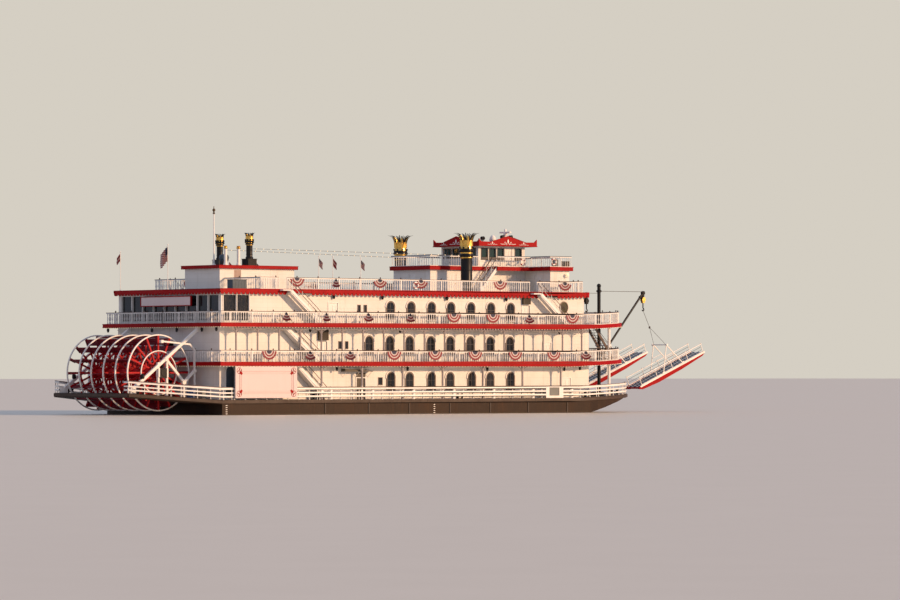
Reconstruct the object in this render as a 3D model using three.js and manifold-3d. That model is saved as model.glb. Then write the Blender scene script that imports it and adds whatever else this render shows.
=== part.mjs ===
// Stern-wheel paddle steamer, as a working model at half the size of the real boat.
// Sizes are metres of the real boat, and the exported group turns them into millimetres of the model.
// While it is built, x runs forward from the aft edge of the upper decks, y to port, z up from the water.
import * as THREE from 'three';
import { mergeVertices } from 'three/addons/utils/BufferGeometryUtils.js';
import Module from 'manifold-3d';

const wasm = await Module();
wasm.setup();

const MODEL_MM_PER_METRE = 500;
const GAP = 0.002;
const WIDE = 12;

// hull
const DRAFT = 1.5;
const MIDSHIP_X = 24;
const TRANSOM_X = 0.3;
const BOTTOM_AFT_X = 9;
const BOTTOM_FORE_X = 41;
const TRANSOM_FOOT_Z = -0.2;

// heights of the walking surfaces above the water, and the slab under each upper one
const MAIN_DECK_Z = 1.45;
const DECK_2_Z = 5.0;
const DECK_3_Z = 8.72;
const ROOF_Z = 12.0;
const SLAB = 0.3;
const WALL = 0.15;

// plan outlines: aft edge, half-breadth, where the shoulder starts, nose and its half-breadth
const HULL_PLAN = { aft: TRANSOM_X, half: 9.3, shoulder: 46.8, nose: 56.2, noseHalf: 2.6 };
const DECK_PLAN = { aft: 0, half: 9.45, shoulder: 46.8, nose: 54.6, noseHalf: 3.6 };
const ROOF_PLAN = { aft: 0.7, half: 8.55, shoulder: 47.0, nose: 47.8, noseHalf: 7.6 };
const ROOF_RAIL_PLAN = { aft: 5.45, half: 8.51, shoulder: 46.3, nose: 47.1, noseHalf: 7.6 };
const HOUSE_PLAN = { aft: 0.8, half: 8.2, shoulder: 47.4, nose: 48.2, noseHalf: 7.2 };
const LOUNGE_PLAN = { aft: 1.0, half: 8.2, shoulder: 46.8, nose: 47.4, noseHalf: 7.5 };
const SHOULDER_STEPS = 6;

// fantail: the deck that carries the wheel, narrower towards its aft beam
const FANTAIL_AFT_X = -8.3;
const FANTAIL_AFT_HALF = 6.0;
const FANTAIL_DEPTH = 0.42;
const WHEEL_BAY = { aft: -7.8, fore: -0.1, half: 5.2 };

// lift of the deck line over its level at midship: x, lift
const SHEER_START_X = 44;
const SHEER = [[-8.4, 0.66], [0.3, 0], [SHEER_START_X, 0], [56.6, 0.53]];

// paddle wheel
const WHEEL_X = -3.98;
const WHEEL_Z = 4.02;
const RIM_OUTER = 3.645;
const RIM_BAR = 0.12;
const RIM_YS = [-4.9, -2.94, -0.98, 0.98, 2.94, 4.9];
const RIM_SEGMENTS = 28;
const ARMS = 16;
const ARM_WIDTH = 0.16;
const ARM_THICK = 0.1;
const HUB_RADIUS = 0.62;
const SHAFT_RADIUS = 0.22;
const SHAFT_END_Y = 5.78;
const BUCKET = { inner: 2.85, outer: 3.5, half: 5.0, thick: 0.07, offset: 0.1 };
const INNER_RING_RADIUS = 2.12;
const RING_BAR = 0.1;
const RING_BED = 0.01;

// bow gear
const MAST = { x: 52.5, y: 4.4, top: 12.85, radius: 0.18 };
const BOOM = { foot: 5.72, tipX: 58.62, tipZ: 12.31, radius: 0.11 };
const STAGE = { footX: 57.08, footZ: 2.46, length: 10.07, half: 1.05, angle: 21.9 };

const WHITE = 0xf3efe6;
const RED = 0xc4161c;
const HULL_BROWN = 0x2d231e;
const BLACK = 0x17171a;
const ENGINE_GREY = 0x54606a;
const DOOR_GREY = 0x6f7169;
const SIGN_WHITE = 0xf0e2dc;
const GLASS = 0x33404a;
const DECK_GREY = 0xa9a79f;

const paint = (color, roughness = 0.5, metalness = 0) =>
  new THREE.MeshStandardMaterial({ color, roughness, metalness });

// solids from three.js geometry

function solidOf(geometry) {
  geometry.deleteAttribute('normal');
  geometry.deleteAttribute('uv');
  const merged = mergeVertices(geometry, 1e-5);
  return new wasm.Manifold(new wasm.Mesh({
    numProp: 3,
    vertProperties: merged.attributes.position.array,
    triVerts: Uint32Array.from(merged.index.array),
  }));
}

function box(x0, x1, y0, y1, z0, z1) {
  const shape = new THREE.BoxGeometry(x1 - x0, y1 - y0, z1 - z0);
  return solidOf(shape.translate((x0 + x1) / 2, (y0 + y1) / 2, (z0 + z1) / 2));
}

const extrude = (points, depth) => {
  const shape = new THREE.Shape(points.map(([u, v]) => new THREE.Vector2(u, v)));
  return new THREE.ExtrudeGeometry(shape, { depth, bevelEnabled: false });
};

// points are x, y
const planSolid = (points, z0, z1) => solidOf(extrude(points, z1 - z0).translate(0, 0, z0));

// points are x, z
const sideSolid = (points, y0, y1) =>
  solidOf(extrude(points, y1 - y0).rotateX(Math.PI / 2).translate(0, y1, 0));

// points are radius, z, and the profile starts and ends on the axis or closes on itself
function turned(points, x, y, segments) {
  const profile = points.map(([r, z]) => new THREE.Vector2(r, z));
  return solidOf(new THREE.LatheGeometry(profile, segments).rotateX(Math.PI / 2).translate(x, y, 0));
}

function rod(from, to, radius, sides = 8) {
  const a = new THREE.Vector3(...from);
  const b = new THREE.Vector3(...to);
  const along = b.clone().sub(a);
  const upright = new THREE.Vector3(0, 1, 0);
  const turn = new THREE.Quaternion().setFromUnitVectors(upright, along.clone().normalize());
  const shape = new THREE.CylinderGeometry(radius, radius, along.length(), sides).applyQuaternion(turn);
  const middle = a.add(b).multiplyScalar(0.5);
  return solidOf(shape.translate(middle.x, middle.y, middle.z));
}

// a square bar in a plane of constant y, from one x, z to another
function bar([x0, z0], [x1, z1], y, width, depth) {
  const length = Math.hypot(x1 - x0, z1 - z0);
  const shape = new THREE.BoxGeometry(length, width, depth).rotateY(-Math.atan2(z1 - z0, x1 - x0));
  return solidOf(shape.translate((x0 + x1) / 2, y, (z0 + z1) / 2));
}

const join = (solids) => solids.reduce((whole, next) => whole.add(next));
const cut = (solid, tools) => tools.reduce((rest, tool) => rest.subtract(tool), solid);

// the boat as a scene graph

const boat = new THREE.Group();
boat.position.set(-MIDSHIP_X, 0, DRAFT);

function piece(name, solid, material) {
  const { vertProperties, triVerts } = solid.getMesh();
  const geometry = new THREE.BufferGeometry();
  geometry.setAttribute('position', new THREE.BufferAttribute(vertProperties, 3));
  geometry.setIndex(new THREE.BufferAttribute(triVerts, 1));
  const mesh = new THREE.Mesh(geometry, material);
  mesh.name = name;
  boat.add(mesh);
}

const SIDES = [['starboard', -1], ['port', 1]];

// deck outlines and the sheer line

function halfOutline({ aft, half, shoulder, nose, noseHalf }, inset) {
  const points = [[aft + inset, half - inset], [shoulder, half - inset]];
  for (let i = 1; i <= SHOULDER_STEPS; i++) {
    const t = (Math.PI / 2) * (i / SHOULDER_STEPS);
    points.push([
      shoulder + (nose - inset - shoulder) * Math.sin(t),
      noseHalf + (half - inset - noseHalf) * Math.cos(t),
    ]);
  }
  return points;
}

const mirrored = (half) => [...half.map(([x, y]) => [x, -y]), ...half.slice().reverse()];

const outline = (plan, inset = 0) => mirrored(halfOutline(plan, inset));

// main deck edge with the fantail, as the main rail follows it
function mainDeckHalf(inset) {
  return [[FANTAIL_AFT_X + inset, FANTAIL_AFT_HALF - inset], ...halfOutline(HULL_PLAN, inset)];
}

function lift(x) {
  const last = SHEER[SHEER.length - 1];
  if (x >= last[0]) return last[1];
  const i = Math.max(1, SHEER.findIndex(([at]) => at > x));
  const [x0, l0] = SHEER[i - 1];
  const [x1, l1] = SHEER[i];
  return l0 + ((l1 - l0) * (x - x0)) / (x1 - x0);
}

function sheerBand(zLow, zHigh, x0 = SHEER[0][0], x1 = SHEER[SHEER.length - 1][0]) {
  const inside = SHEER.map(([x]) => x).filter((x) => x > x0 && x < x1);
  const xs = [x0, ...inside, x1];
  const low = xs.map((x) => [x, zLow + lift(x)]);
  const high = xs.map((x) => [x, zHigh + lift(x)]);
  return sideSolid([...low, ...high.reverse()], -WIDE, WIDE);
}

const TALL = [-3, 22];
const prism = (points) => planSolid(points, ...TALL);
const slab = (points, zLow, zHigh) => prism(points).intersect(sheerBand(zLow, zHigh));
const ring = (outer, inner, zLow, zHigh) =>
  prism(outer).subtract(prism(inner)).intersect(sheerBand(zLow, zHigh));

// rails: bars that follow an outline, with posts on a path

const RAIL_WIDTH = 0.07;

function pathStations(path, spacing) {
  const stations = [];
  let carried = 0;
  for (let i = 1; i < path.length; i++) {
    const [x0, y0] = path[i - 1];
    const [x1, y1] = path[i];
    const length = Math.hypot(x1 - x0, y1 - y0);
    let at = carried;
    while (at < length) {
      stations.push([x0 + ((x1 - x0) * at) / length, y0 + ((y1 - y0) * at) / length]);
      at += spacing;
    }
    carried = at - length;
  }
  return stations;
}

function post(x, y, zLow, zHigh, width = 0.05) {
  const h = width / 2;
  return box(x - h, x + h, y - h, y + h, zLow + lift(x), zHigh + lift(x));
}

const barsOn = (planAt, inset, deckZ, bars) =>
  join(bars.map(([low, high]) => ring(planAt(inset), planAt(inset + RAIL_WIDTH), deckZ + low, deckZ + high)));

// posts on both sides along a half outline, closed by the straight ends at the stern and the bow
function postsOn(half, deckZ, low, high, spacing) {
  const path = [[half[0][0], 0], ...half, [half[half.length - 1][0], 0]];
  return pathStations(path, spacing).flatMap(([x, y]) =>
    (y === 0 ? [0] : [-y, y]).map((at) => post(x, at, deckZ + low, deckZ + high)));
}

// stairs: a stepped slab that rises from lowZ at lowX to highZ at highX

const STEPS = 12;

function stair(highX, lowX, y0, y1, highZ, lowZ) {
  const rise = (highZ - lowZ) / STEPS;
  const run = (lowX - highX) / (STEPS - 1);
  const into = Math.sign(run) * 0.12;
  const points = [[highX - into, highZ - SLAB], [highX - into, highZ - 0.02], [highX, highZ - 0.02]];
  for (let i = 1; i < STEPS; i++) {
    points.push([highX + run * (i - 1), highZ - rise * i]);
    points.push([highX + run * i, highZ - rise * i]);
  }
  points.push([lowX, lowZ + GAP], [lowX - run * 1.2, lowZ + GAP]);
  const [a, b] = y0 < y1 ? [y0, y1] : [y1, y0];
  return sideSolid(points, a, b);
}

// hull and fantail

function hull() {
  const side = [
    [TRANSOM_X, TRANSOM_FOOT_Z], [BOTTOM_AFT_X, -DRAFT], [BOTTOM_FORE_X, -DRAFT], [44, -0.78],
    [47, 0.02], [50.5, 0.88], [53.2, 1.5], [56.6, 1.72], [56.6, 3], [TRANSOM_X, 3],
  ];
  const body = prism(outline(HULL_PLAN)).intersect(sideSolid(side, -WIDE, WIDE));
  piece('hull', body.intersect(sheerBand(-DRAFT - 1, MAIN_DECK_Z)), paint(HULL_BROWN, 0.75));
}

function fantail() {
  const fore = TRANSOM_X - GAP;
  const slope = (HULL_PLAN.half - FANTAIL_AFT_HALF) / (TRANSOM_X - FANTAIL_AFT_X);
  const foreHalf = FANTAIL_AFT_HALF + slope * (fore - FANTAIL_AFT_X);
  const deck = slab(
    mirrored([[FANTAIL_AFT_X, FANTAIL_AFT_HALF], [fore, foreHalf]]),
    MAIN_DECK_Z - FANTAIL_DEPTH, MAIN_DECK_Z,
  );
  const { aft, fore: bayFore, half } = WHEEL_BAY;
  piece('fantail', cut(deck, [box(aft, bayFore, -half, half, 0, 4)]), paint(HULL_BROWN, 0.75));
}

const ENGINE = { x0: 4.2, x1: 8.4, half: 1.3, height: 1.9 };

function engine() {
  const { x0, x1, half, height } = ENGINE;
  const block = box(x0, x1, -half, half, MAIN_DECK_Z + GAP, MAIN_DECK_Z + height);
  piece('engine_block', block, paint(ENGINE_GREY, 0.6));
}

const RUDDER = { y: 3.0, stockX: 0.95, aft: -1.35, fore: 1.75, low: -1.4, high: -0.52, thick: 0.16 };

function rudders() {
  const { y, stockX, aft, fore, low, high, thick } = RUDDER;
  const blade = [[aft, low], [fore, low], [fore, high - 0.16], [stockX, high], [aft, high]];
  for (const [side, s] of SIDES) {
    const plate = sideSolid(blade, s * y - thick / 2, s * y + thick / 2);
    const stock = rod([stockX, s * y, low + 0.05], [stockX, s * y, -0.36], 0.12, 12);
    piece(`rudder_${side}`, plate.add(stock), paint(HULL_BROWN, 0.75));
  }
}

// paddle wheel

const polar = (radius, angle) => [WHEEL_X + radius * Math.cos(angle), WHEEL_Z + radius * Math.sin(angle)];

function wheelFrame(y) {
  const points = [];
  const reach = RIM_OUTER - RIM_BAR / 2;
  for (let i = 0; i < ARMS; i++) {
    const angle = (2 * Math.PI * i) / ARMS;
    const atHub = Math.asin(ARM_WIDTH / 2 / HUB_RADIUS);
    const atRim = Math.asin(ARM_WIDTH / 2 / reach);
    points.push(polar(HUB_RADIUS, angle - atHub), polar(reach, angle - atRim));
    points.push(polar(reach, angle + atRim), polar(HUB_RADIUS, angle + atHub));
  }
  return sideSolid(points, y - ARM_THICK / 2, y + ARM_THICK / 2);
}

function bucket(index) {
  const angle = (2 * Math.PI * index) / ARMS;
  const plank = new THREE.BoxGeometry(BUCKET.outer - BUCKET.inner, 2 * BUCKET.half, BUCKET.thick);
  plank.translate((BUCKET.inner + BUCKET.outer) / 2, 0, BUCKET.offset).rotateY(-angle);
  return solidOf(plank.translate(WHEEL_X, 0, WHEEL_Z));
}

function wheelRing(outerRadius, width, y, thick) {
  const inner = outerRadius - width;
  const half = thick / 2;
  const profile = [[inner, -half], [outerRadius, -half], [outerRadius, half], [inner, half], [inner, -half]]
    .map(([r, h]) => new THREE.Vector2(r, h));
  return solidOf(new THREE.LatheGeometry(profile, RIM_SEGMENTS).translate(WHEEL_X, y, WHEEL_Z));
}

function paddleWheel() {
  const shaft = rod([WHEEL_X, -SHAFT_END_Y, WHEEL_Z], [WHEEL_X, SHAFT_END_Y, WHEEL_Z], SHAFT_RADIUS, 16);
  const hub = rod([WHEEL_X, RIM_YS[0] - 0.09, WHEEL_Z], [WHEEL_X, RIM_YS[5] + 0.09, WHEEL_Z], 0.4, 16);
  const frames = RIM_YS.map(wheelFrame);
  const buckets = Array.from({ length: ARMS }, (_, i) => bucket(i));
  const ringY = RIM_YS[5] + ARM_THICK / 2 + RING_BAR / 2 - RING_BED;
  const rings = [-ringY, ringY].map((y) => wheelRing(INNER_RING_RADIUS, RING_BAR, y, RING_BAR));
  const rims = RIM_YS.map((y) => wheelRing(RIM_OUTER, RIM_BAR, y, RIM_BAR));
  piece('paddle_wheel', join([shaft, hub, ...frames, ...buckets, ...rings, ...rims]), paint(0xb3121c, 0.55));
}

// truss and bearing on each side of the wheel

const TRUSS_Y = 5.56;

// bars of the truss in x, z: width and depth first, then the two ends
const TRUSS_BARS = [
  [0.24, 0.2, [-4.48, 1.35], [-4.48, 5]], [0.24, 0.2, [-3.48, 1.35], [-3.48, 5]],
  [0.24, 0.28, [-7.62, 2.34], [0.1, 8.12]],
  [0.2, 0.24, [-3.6, 5.34], [-1.42, 3.1]], [0.2, 0.24, [-1.5, 3.1], [-0.2, 4.2]],
  [0.2, 0.2, [-1.46, 1.35], [-1.46, 3.2]], [0.2, 0.16, [-4.48, 3], [-3.48, 3]],
  [0.16, 0.16, [-4.07, 7], [-0.72, 6.72]], [0.16, 0.16, [-0.78, 6.75], [-0.2, 6.18]],
  [0.16, 0.16, [-0.2, 6.26], [-0.2, 1.35]],
];
const TRUSS_SHOE = { x0: -7.95, x1: -7.1, half: 0.14, low: 1.35, high: 2.62 };
const TRUSS_HEAD = { x0: 0.02, x1: 0.36, half: 0.14, low: 7.9 };
const BEARING_BLOCK = { x0: -4.56, x1: -3.4, half: 0.2, low: 3.6, high: 4.44 };
const BORE_CLEARANCE = 0.03;

function sternTrusses() {
  const underDeck3 = DECK_3_Z - SLAB - GAP;
  const fantailBelow = sheerBand(-DRAFT, MAIN_DECK_Z + GAP, SHEER[0][0], 2);
  for (const [side, s] of SIDES) {
    const y = s * TRUSS_Y;
    const slice = ({ x0, x1, half }, low, high) => box(x0, x1, y - half, y + half, low, high);
    const bars = TRUSS_BARS.map(([width, depth, from, to]) => bar(from, to, y, width, depth));
    const blocks = [
      slice(TRUSS_SHOE, TRUSS_SHOE.low, TRUSS_SHOE.high), slice(TRUSS_HEAD, TRUSS_HEAD.low, underDeck3),
      slice(BEARING_BLOCK, BEARING_BLOCK.low, BEARING_BLOCK.high),
    ];
    const boreRadius = SHAFT_RADIUS + BORE_CLEARANCE;
    const bore = rod([WHEEL_X, y - 1, WHEEL_Z], [WHEEL_X, y + 1, WHEEL_Z], boreRadius, 16);
    const aftOfEdge = box(-1, 0.01, y - 1, y + 1, underDeck3 - 0.058, 10);
    const inDeck3 = box(0, 1.2, y - 1, y + 1, underDeck3, 10);
    const whole = join([...bars, ...blocks]);
    piece(`stern_truss_${side}`, cut(whole, [bore, aftOfEdge, inDeck3, fantailBelow]), paint(WHITE, 0.5));
  }
}

// the three enclosed levels

const house = (plan, deckZ, ceilingZ) =>
  ring(outline(plan), outline(plan, WALL), deckZ + GAP, ceilingZ - GAP);

const DOOR_HEIGHT = 2.05;
const AFT_DOOR_HALF = 0.9;

// doors: wall level, x of the aft jamb, width
const SIDE_DOORS = {
  main: [[17.45, 1.1], [44.0, 1.2]],
  second: [[12.7, 1.1], [41.5, 1.1]],
  third: [[38.75, 1.0], [14.0, 1.1]],
};

const sideDoors = (doors, deckZ) =>
  doors.map(([x, width]) => box(x, x + width, -WIDE, WIDE, deckZ - 0.1, deckZ + DOOR_HEIGHT));

const FRONT_DOOR = { y: 4, half: 0.7, rise: 0.3 };

// a pair of doors at the bow end, on the deck as the sheer lifts it there
function frontDoors(deckZ, noseX) {
  const { y: offset, half, rise } = FRONT_DOOR;
  return [-offset, offset].map((y) =>
    box(noseX - 1, noseX + 1, y - half, y + half, deckZ, deckZ + DOOR_HEIGHT + rise));
}

const DOOR = { thick: 0.06, hingeGap: 0.02, lockGap: 0.04, headGap: 0.03 };

// a leaf in the first doorway of each level and side, which swings inwards about its aft edge
function doors() {
  const levels = [
    ['main_deck', SIDE_DOORS.main, MAIN_DECK_Z], ['deck_2', SIDE_DOORS.second, DECK_2_Z],
    ['deck_3', SIDE_DOORS.third, DECK_3_Z],
  ];
  for (const [level, [[x, width]], deckZ] of levels) {
    for (const [side, s] of SIDES) {
      const inner = HOUSE_PLAN.half - WALL + 0.01;
      const [a, b] = [s * inner, s * (inner + DOOR.thick)].sort((p, q) => p - q);
      const [low, high] = [deckZ + DOOR.headGap, deckZ + DOOR_HEIGHT - DOOR.headGap];
      const leaf = box(x + DOOR.hingeGap, x + width - DOOR.lockGap, a, b, low, high);
      piece(`${level}_door_${side}`, leaf, paint(DOOR_GREY, 0.6));
    }
  }
}

const GLASS_THICK = 0.05;
const LOUNGE_PANELS = 9;
const LOUNGE_SILL = 0.3;
const LOUNGE_HEAD = 2.7;
const LOUNGE_MULLION = 0.12;
const LOUNGE_CORNER = 0.3;
const LOUNGE_SIDE_WINDOWS = [[1.25, 1.5], [2.9, 1.4]];
const LOUNGE_GLASS_FORE_X = 4.6;
// the aft lounge's walls are a solid of their own, which ends here
const LOUNGE_FORE_X = 8;

function loungeWindows() {
  const pitch = (2 * LOUNGE_PLAN.half - 2 * LOUNGE_CORNER) / LOUNGE_PANELS;
  const halfPane = (pitch - LOUNGE_MULLION) / 2;
  const wallX = LOUNGE_PLAN.aft;
  const [low, high] = [DECK_3_Z + LOUNGE_SILL, DECK_3_Z + LOUNGE_HEAD];
  const aft = Array.from({ length: LOUNGE_PANELS }, (_, i) => {
    const y = -LOUNGE_PLAN.half + LOUNGE_CORNER + pitch * (i + 0.5);
    return box(wallX - 1, wallX + WALL + 1, y - halfPane, y + halfPane, low, high);
  });
  const sides = LOUNGE_SIDE_WINDOWS.map(([x, width]) => box(x, x + width, -WIDE, WIDE, low, high));
  return [...aft, ...sides];
}

function houses() {
  const { aft } = HOUSE_PLAN;
  const aftDoor = (deckZ) =>
    box(aft - 1, aft + 1, -AFT_DOOR_HALF, AFT_DOOR_HALF, deckZ - 0.1, deckZ + DOOR_HEIGHT);
  const walls = (plan, deckZ, aboveZ, doorways, aftCuts) => cut(house(plan, deckZ, aboveZ - SLAB), [
    ...aftCuts, ...sideDoors(doorways, deckZ), ...frontDoors(deckZ, plan.nose),
  ]);
  const main = walls(HOUSE_PLAN, MAIN_DECK_Z, DECK_2_Z, SIDE_DOORS.main, [aftDoor(MAIN_DECK_Z)]);
  const second = walls(HOUSE_PLAN, DECK_2_Z, DECK_3_Z, SIDE_DOORS.second, [aftDoor(DECK_2_Z)]);
  const third = walls(LOUNGE_PLAN, DECK_3_Z, ROOF_Z, SIDE_DOORS.third, loungeWindows());
  const lounge = box(0, LOUNGE_FORE_X, -WIDE, WIDE, ...TALL);
  const foreOfLounge = box(LOUNGE_FORE_X + GAP, LOUNGE_PLAN.nose + 1, -WIDE, WIDE, ...TALL);
  piece('main_deck_walls', main, paint(WHITE, 0.55));
  piece('deck_2_walls', second, paint(WHITE, 0.55));
  piece('lounge_walls', third.intersect(lounge), paint(WHITE, 0.55));
  piece('deck_3_walls', third.intersect(foreOfLounge), paint(WHITE, 0.55));
  const inside = WALL + GAP;
  const glassPlan = { ...LOUNGE_PLAN, aft: LOUNGE_PLAN.aft + inside, half: LOUNGE_PLAN.half - inside };
  const [low, high] = [DECK_3_Z + LOUNGE_SILL - 0.15, DECK_3_Z + LOUNGE_HEAD + 0.15];
  const pane = ring(outline(glassPlan), outline(glassPlan, GLASS_THICK), low, high);
  const glazed = box(0, LOUNGE_GLASS_FORE_X, -WIDE, WIDE, ...TALL);
  piece('lounge_glass', pane.intersect(glazed), paint(GLASS, 0.15));
}

// decks, their stairs and their red edges

const STAIR_Y = [8.3, 9.0];
const WELL_Y = [8.25, 9.05];
const ROOF_STAIR_Y = [8.65, 9.18];

// stairs: upper end, lower end, end of the well
const STAIRS = {
  toDeck2: { top: 9.5, foot: 13.4, wellEnd: 12.7 },
  toDeck3: { top: 8.0, foot: 12.5, wellEnd: 11.4 },
  toRoofAft: { top: 8.7, foot: 12.5 },
  toRoofFore: { top: 40.5, foot: 44.3 },
};

const BOW_COLUMN = { x: 50.35, y: 8.33, radius: 0.15 };

function stairTo({ top, foot }, s, highZ, lowZ) {
  return stair(top, foot, s * STAIR_Y[0], s * STAIR_Y[1], highZ, lowZ + lift(foot));
}

function well({ top, wellEnd }, s) {
  const [a, b] = [s * WELL_Y[0], s * WELL_Y[1]].sort((p, q) => p - q);
  return box(top, wellEnd, a, b, 0, 20);
}

function holeFor({ x, y, radius }, side) {
  const r = radius + GAP;
  return turned([[0, 0], [r, 0], [r, 20], [0, 20]], x, side * y, 12);
}

// red board round the edge of a deck
const edgeBoard = (plan, deckZ) =>
  ring(outline(plan, -0.07), outline(plan, 0.02), deckZ - SLAB - 0.05, deckZ + 0.02);

// each deck is laid in two lengths, which meet where the sheer starts
function deck(name, deckZ, below, stairs, holes) {
  const whole = join([slab(outline(DECK_PLAN), deckZ - SLAB, deckZ), edgeBoard(DECK_PLAN, deckZ)]);
  const joint = SHEER_START_X;
  const aft = cut(whole, [box(joint - GAP, 99, -WIDE, WIDE, -9, 30), ...[-1, 1].map((s) => well(stairs, s))]);
  const flights = [-1, 1].map((s) => stairTo(stairs, s, deckZ, below));
  piece(name, join([aft, ...flights]), paint(DECK_GREY, 0.8));
  piece(`${name}_fore`, cut(whole, [box(-9, joint, -WIDE, WIDE, -9, 30), ...holes]), paint(DECK_GREY, 0.8));
}

function decks() {
  const masts = [-1, 1].map((s) => holeFor(MAST, s));
  const columns = [-1, 1].map((s) => holeFor(BOW_COLUMN, s));
  deck('deck_2', DECK_2_Z, MAIN_DECK_Z, STAIRS.toDeck2, [...masts, ...columns]);
  deck('deck_3', DECK_3_Z, DECK_2_Z, STAIRS.toDeck3, masts);
}

const LANDING_LENGTH = 1.0;
const LANDING_THICK = 0.12;
const ROOF_BAND = 0.34;

function hurricaneDeck() {
  const parts = [slab(outline(ROOF_PLAN), ROOF_Z - SLAB, ROOF_Z)];
  for (const s of [-1, 1]) {
    for (const { top, foot } of [STAIRS.toRoofAft, STAIRS.toRoofFore]) {
      const [a, b] = [s * (ROOF_PLAN.half - 0.1), s * ROOF_STAIR_Y[1]].sort((p, q) => p - q);
      parts.push(box(top - LANDING_LENGTH, top, a, b, ROOF_Z - LANDING_THICK, ROOF_Z));
      const [near, far] = ROOF_STAIR_Y;
      parts.push(stair(top, foot, s * near, s * far, ROOF_Z, DECK_3_Z + lift(foot)));
    }
  }
  parts.push(ring(outline(ROOF_PLAN, -0.07), outline(ROOF_PLAN, 0.02), ROOF_Z - ROOF_BAND, ROOF_Z + 0.02));
  piece('hurricane_deck', join(parts), paint(DECK_GREY, 0.8));
}

// rails of the four open levels

const POST_PITCH = 2.58;
const BOW_CURVE_X = DECK_PLAN.shoulder;
const MAIN_COLUMN_WIDTH = 0.14;
const DECK_2_POSTS = 18;
const FIRST_DECK_2_POST_X = 2.04;
const LAST_DECK_2_POST_X = FIRST_DECK_2_POST_X + POST_PITCH * (DECK_2_POSTS - 1);
const MAIN_COLUMN_XS = [12.4, 17.4, 22.5, 27.6, 32.8, 38.0, 43.1];
const RAIL_INSET = 0.16;
const MAIN_RAIL_INSET = 0.05;
const RAIL_END_Y = 5.3;
const DECK_POST = { inset: 0.24, width: 0.12, beam: 0.22 };

function mainRails() {
  const whole = (inset) => mirrored(mainDeckHalf(inset));
  const bars = barsOn(whole, MAIN_RAIL_INSET, MAIN_DECK_Z, [[0.3, 0.37], [1.06, 1.15]]);
  const path = mainDeckHalf(MAIN_RAIL_INSET + RAIL_WIDTH / 2);
  const stations = pathStations(path, POST_PITCH * 2).filter(([, y]) => y > RAIL_END_Y + 0.1);
  const columnY = HULL_PLAN.half - MAIN_RAIL_INSET - RAIL_WIDTH - 0.05;
  for (const [side, s] of SIDES) {
    const [a, b] = [s * RAIL_END_Y, s * WIDE].sort((p, q) => p - q);
    const posts = stations.map(([x, y]) => post(x, s * y, MAIN_DECK_Z + GAP, MAIN_DECK_Z + 1.1));
    const columns = MAIN_COLUMN_XS.map((x) =>
      post(x, s * columnY, MAIN_DECK_Z + GAP, DECK_2_Z - SLAB - GAP, MAIN_COLUMN_WIDTH));
    const rail = join([bars.intersect(box(-20, 70, a, b, ...TALL)), ...posts, ...columns]);
    twoLengths(`main_deck_rail_${side}`, `main_deck_rail_fore_${side}`, rail);
  }
}

// a rail is made in two lengths, which meet where the bow's curve starts
function twoLengths(aftName, foreName, rail) {
  piece(aftName, cut(rail, [box(BOW_CURVE_X - GAP, 99, -WIDE, WIDE, ...TALL)]), paint(WHITE, 0.5));
  piece(foreName, cut(rail, [box(-20, BOW_CURVE_X, -WIDE, WIDE, ...TALL)]), paint(WHITE, 0.5));
}

function deckRail(plan, deckZ) {
  const bars = barsOn((inset) => outline(plan, inset), RAIL_INSET, deckZ, [[GAP, 0.08], [1.03, 1.12]]);
  const half = halfOutline(plan, RAIL_INSET + RAIL_WIDTH / 2);
  return join([bars, ...postsOn(half, deckZ, 0.04, 1.08, POST_PITCH * 4)]);
}

// posts between the second and third decks, with the beam that they carry, and the tall columns at the bow
function deckPosts() {
  const { inset, width, beam } = DECK_POST;
  const top = DECK_3_Z - SLAB - GAP;
  const plan = (at) => outline(DECK_PLAN, at);
  const carried = ring(plan(inset), plan(inset + width), top - beam, top);
  for (const [side, s] of SIDES) {
    const [a, b] = [0, s * WIDE].sort((p, q) => p - q);
    const [headerAft, headerFore] = [FIRST_DECK_2_POST_X - width, LAST_DECK_2_POST_X + width];
    const header = carried.intersect(box(headerAft, headerFore, a, b, ...TALL));
    const y = s * (DECK_PLAN.half - inset - width / 2);
    const posts = Array.from({ length: DECK_2_POSTS }, (_, i) =>
      post(FIRST_DECK_2_POST_X + POST_PITCH * i, y, DECK_2_Z + 0.01, top - beam / 2, width));
    const { x, radius } = BOW_COLUMN;
    const foot = MAIN_DECK_Z + lift(x + radius) + GAP;
    const head = top + lift(x - radius);
    const column = rod([x, s * BOW_COLUMN.y, foot], [x, s * BOW_COLUMN.y, head], radius, 12);
    piece(`deck_2_posts_${side}`, join([header, ...posts]), paint(WHITE, 0.5));
    piece(`bow_column_${side}`, column, paint(WHITE, 0.5));
  }
}

function upperRails() {
  twoLengths('deck_2_rail', 'deck_2_rail_fore', deckRail(DECK_PLAN, DECK_2_Z));
  piece('deck_3_rail', deckRail(DECK_PLAN, DECK_3_Z), paint(WHITE, 0.5));
}

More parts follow.
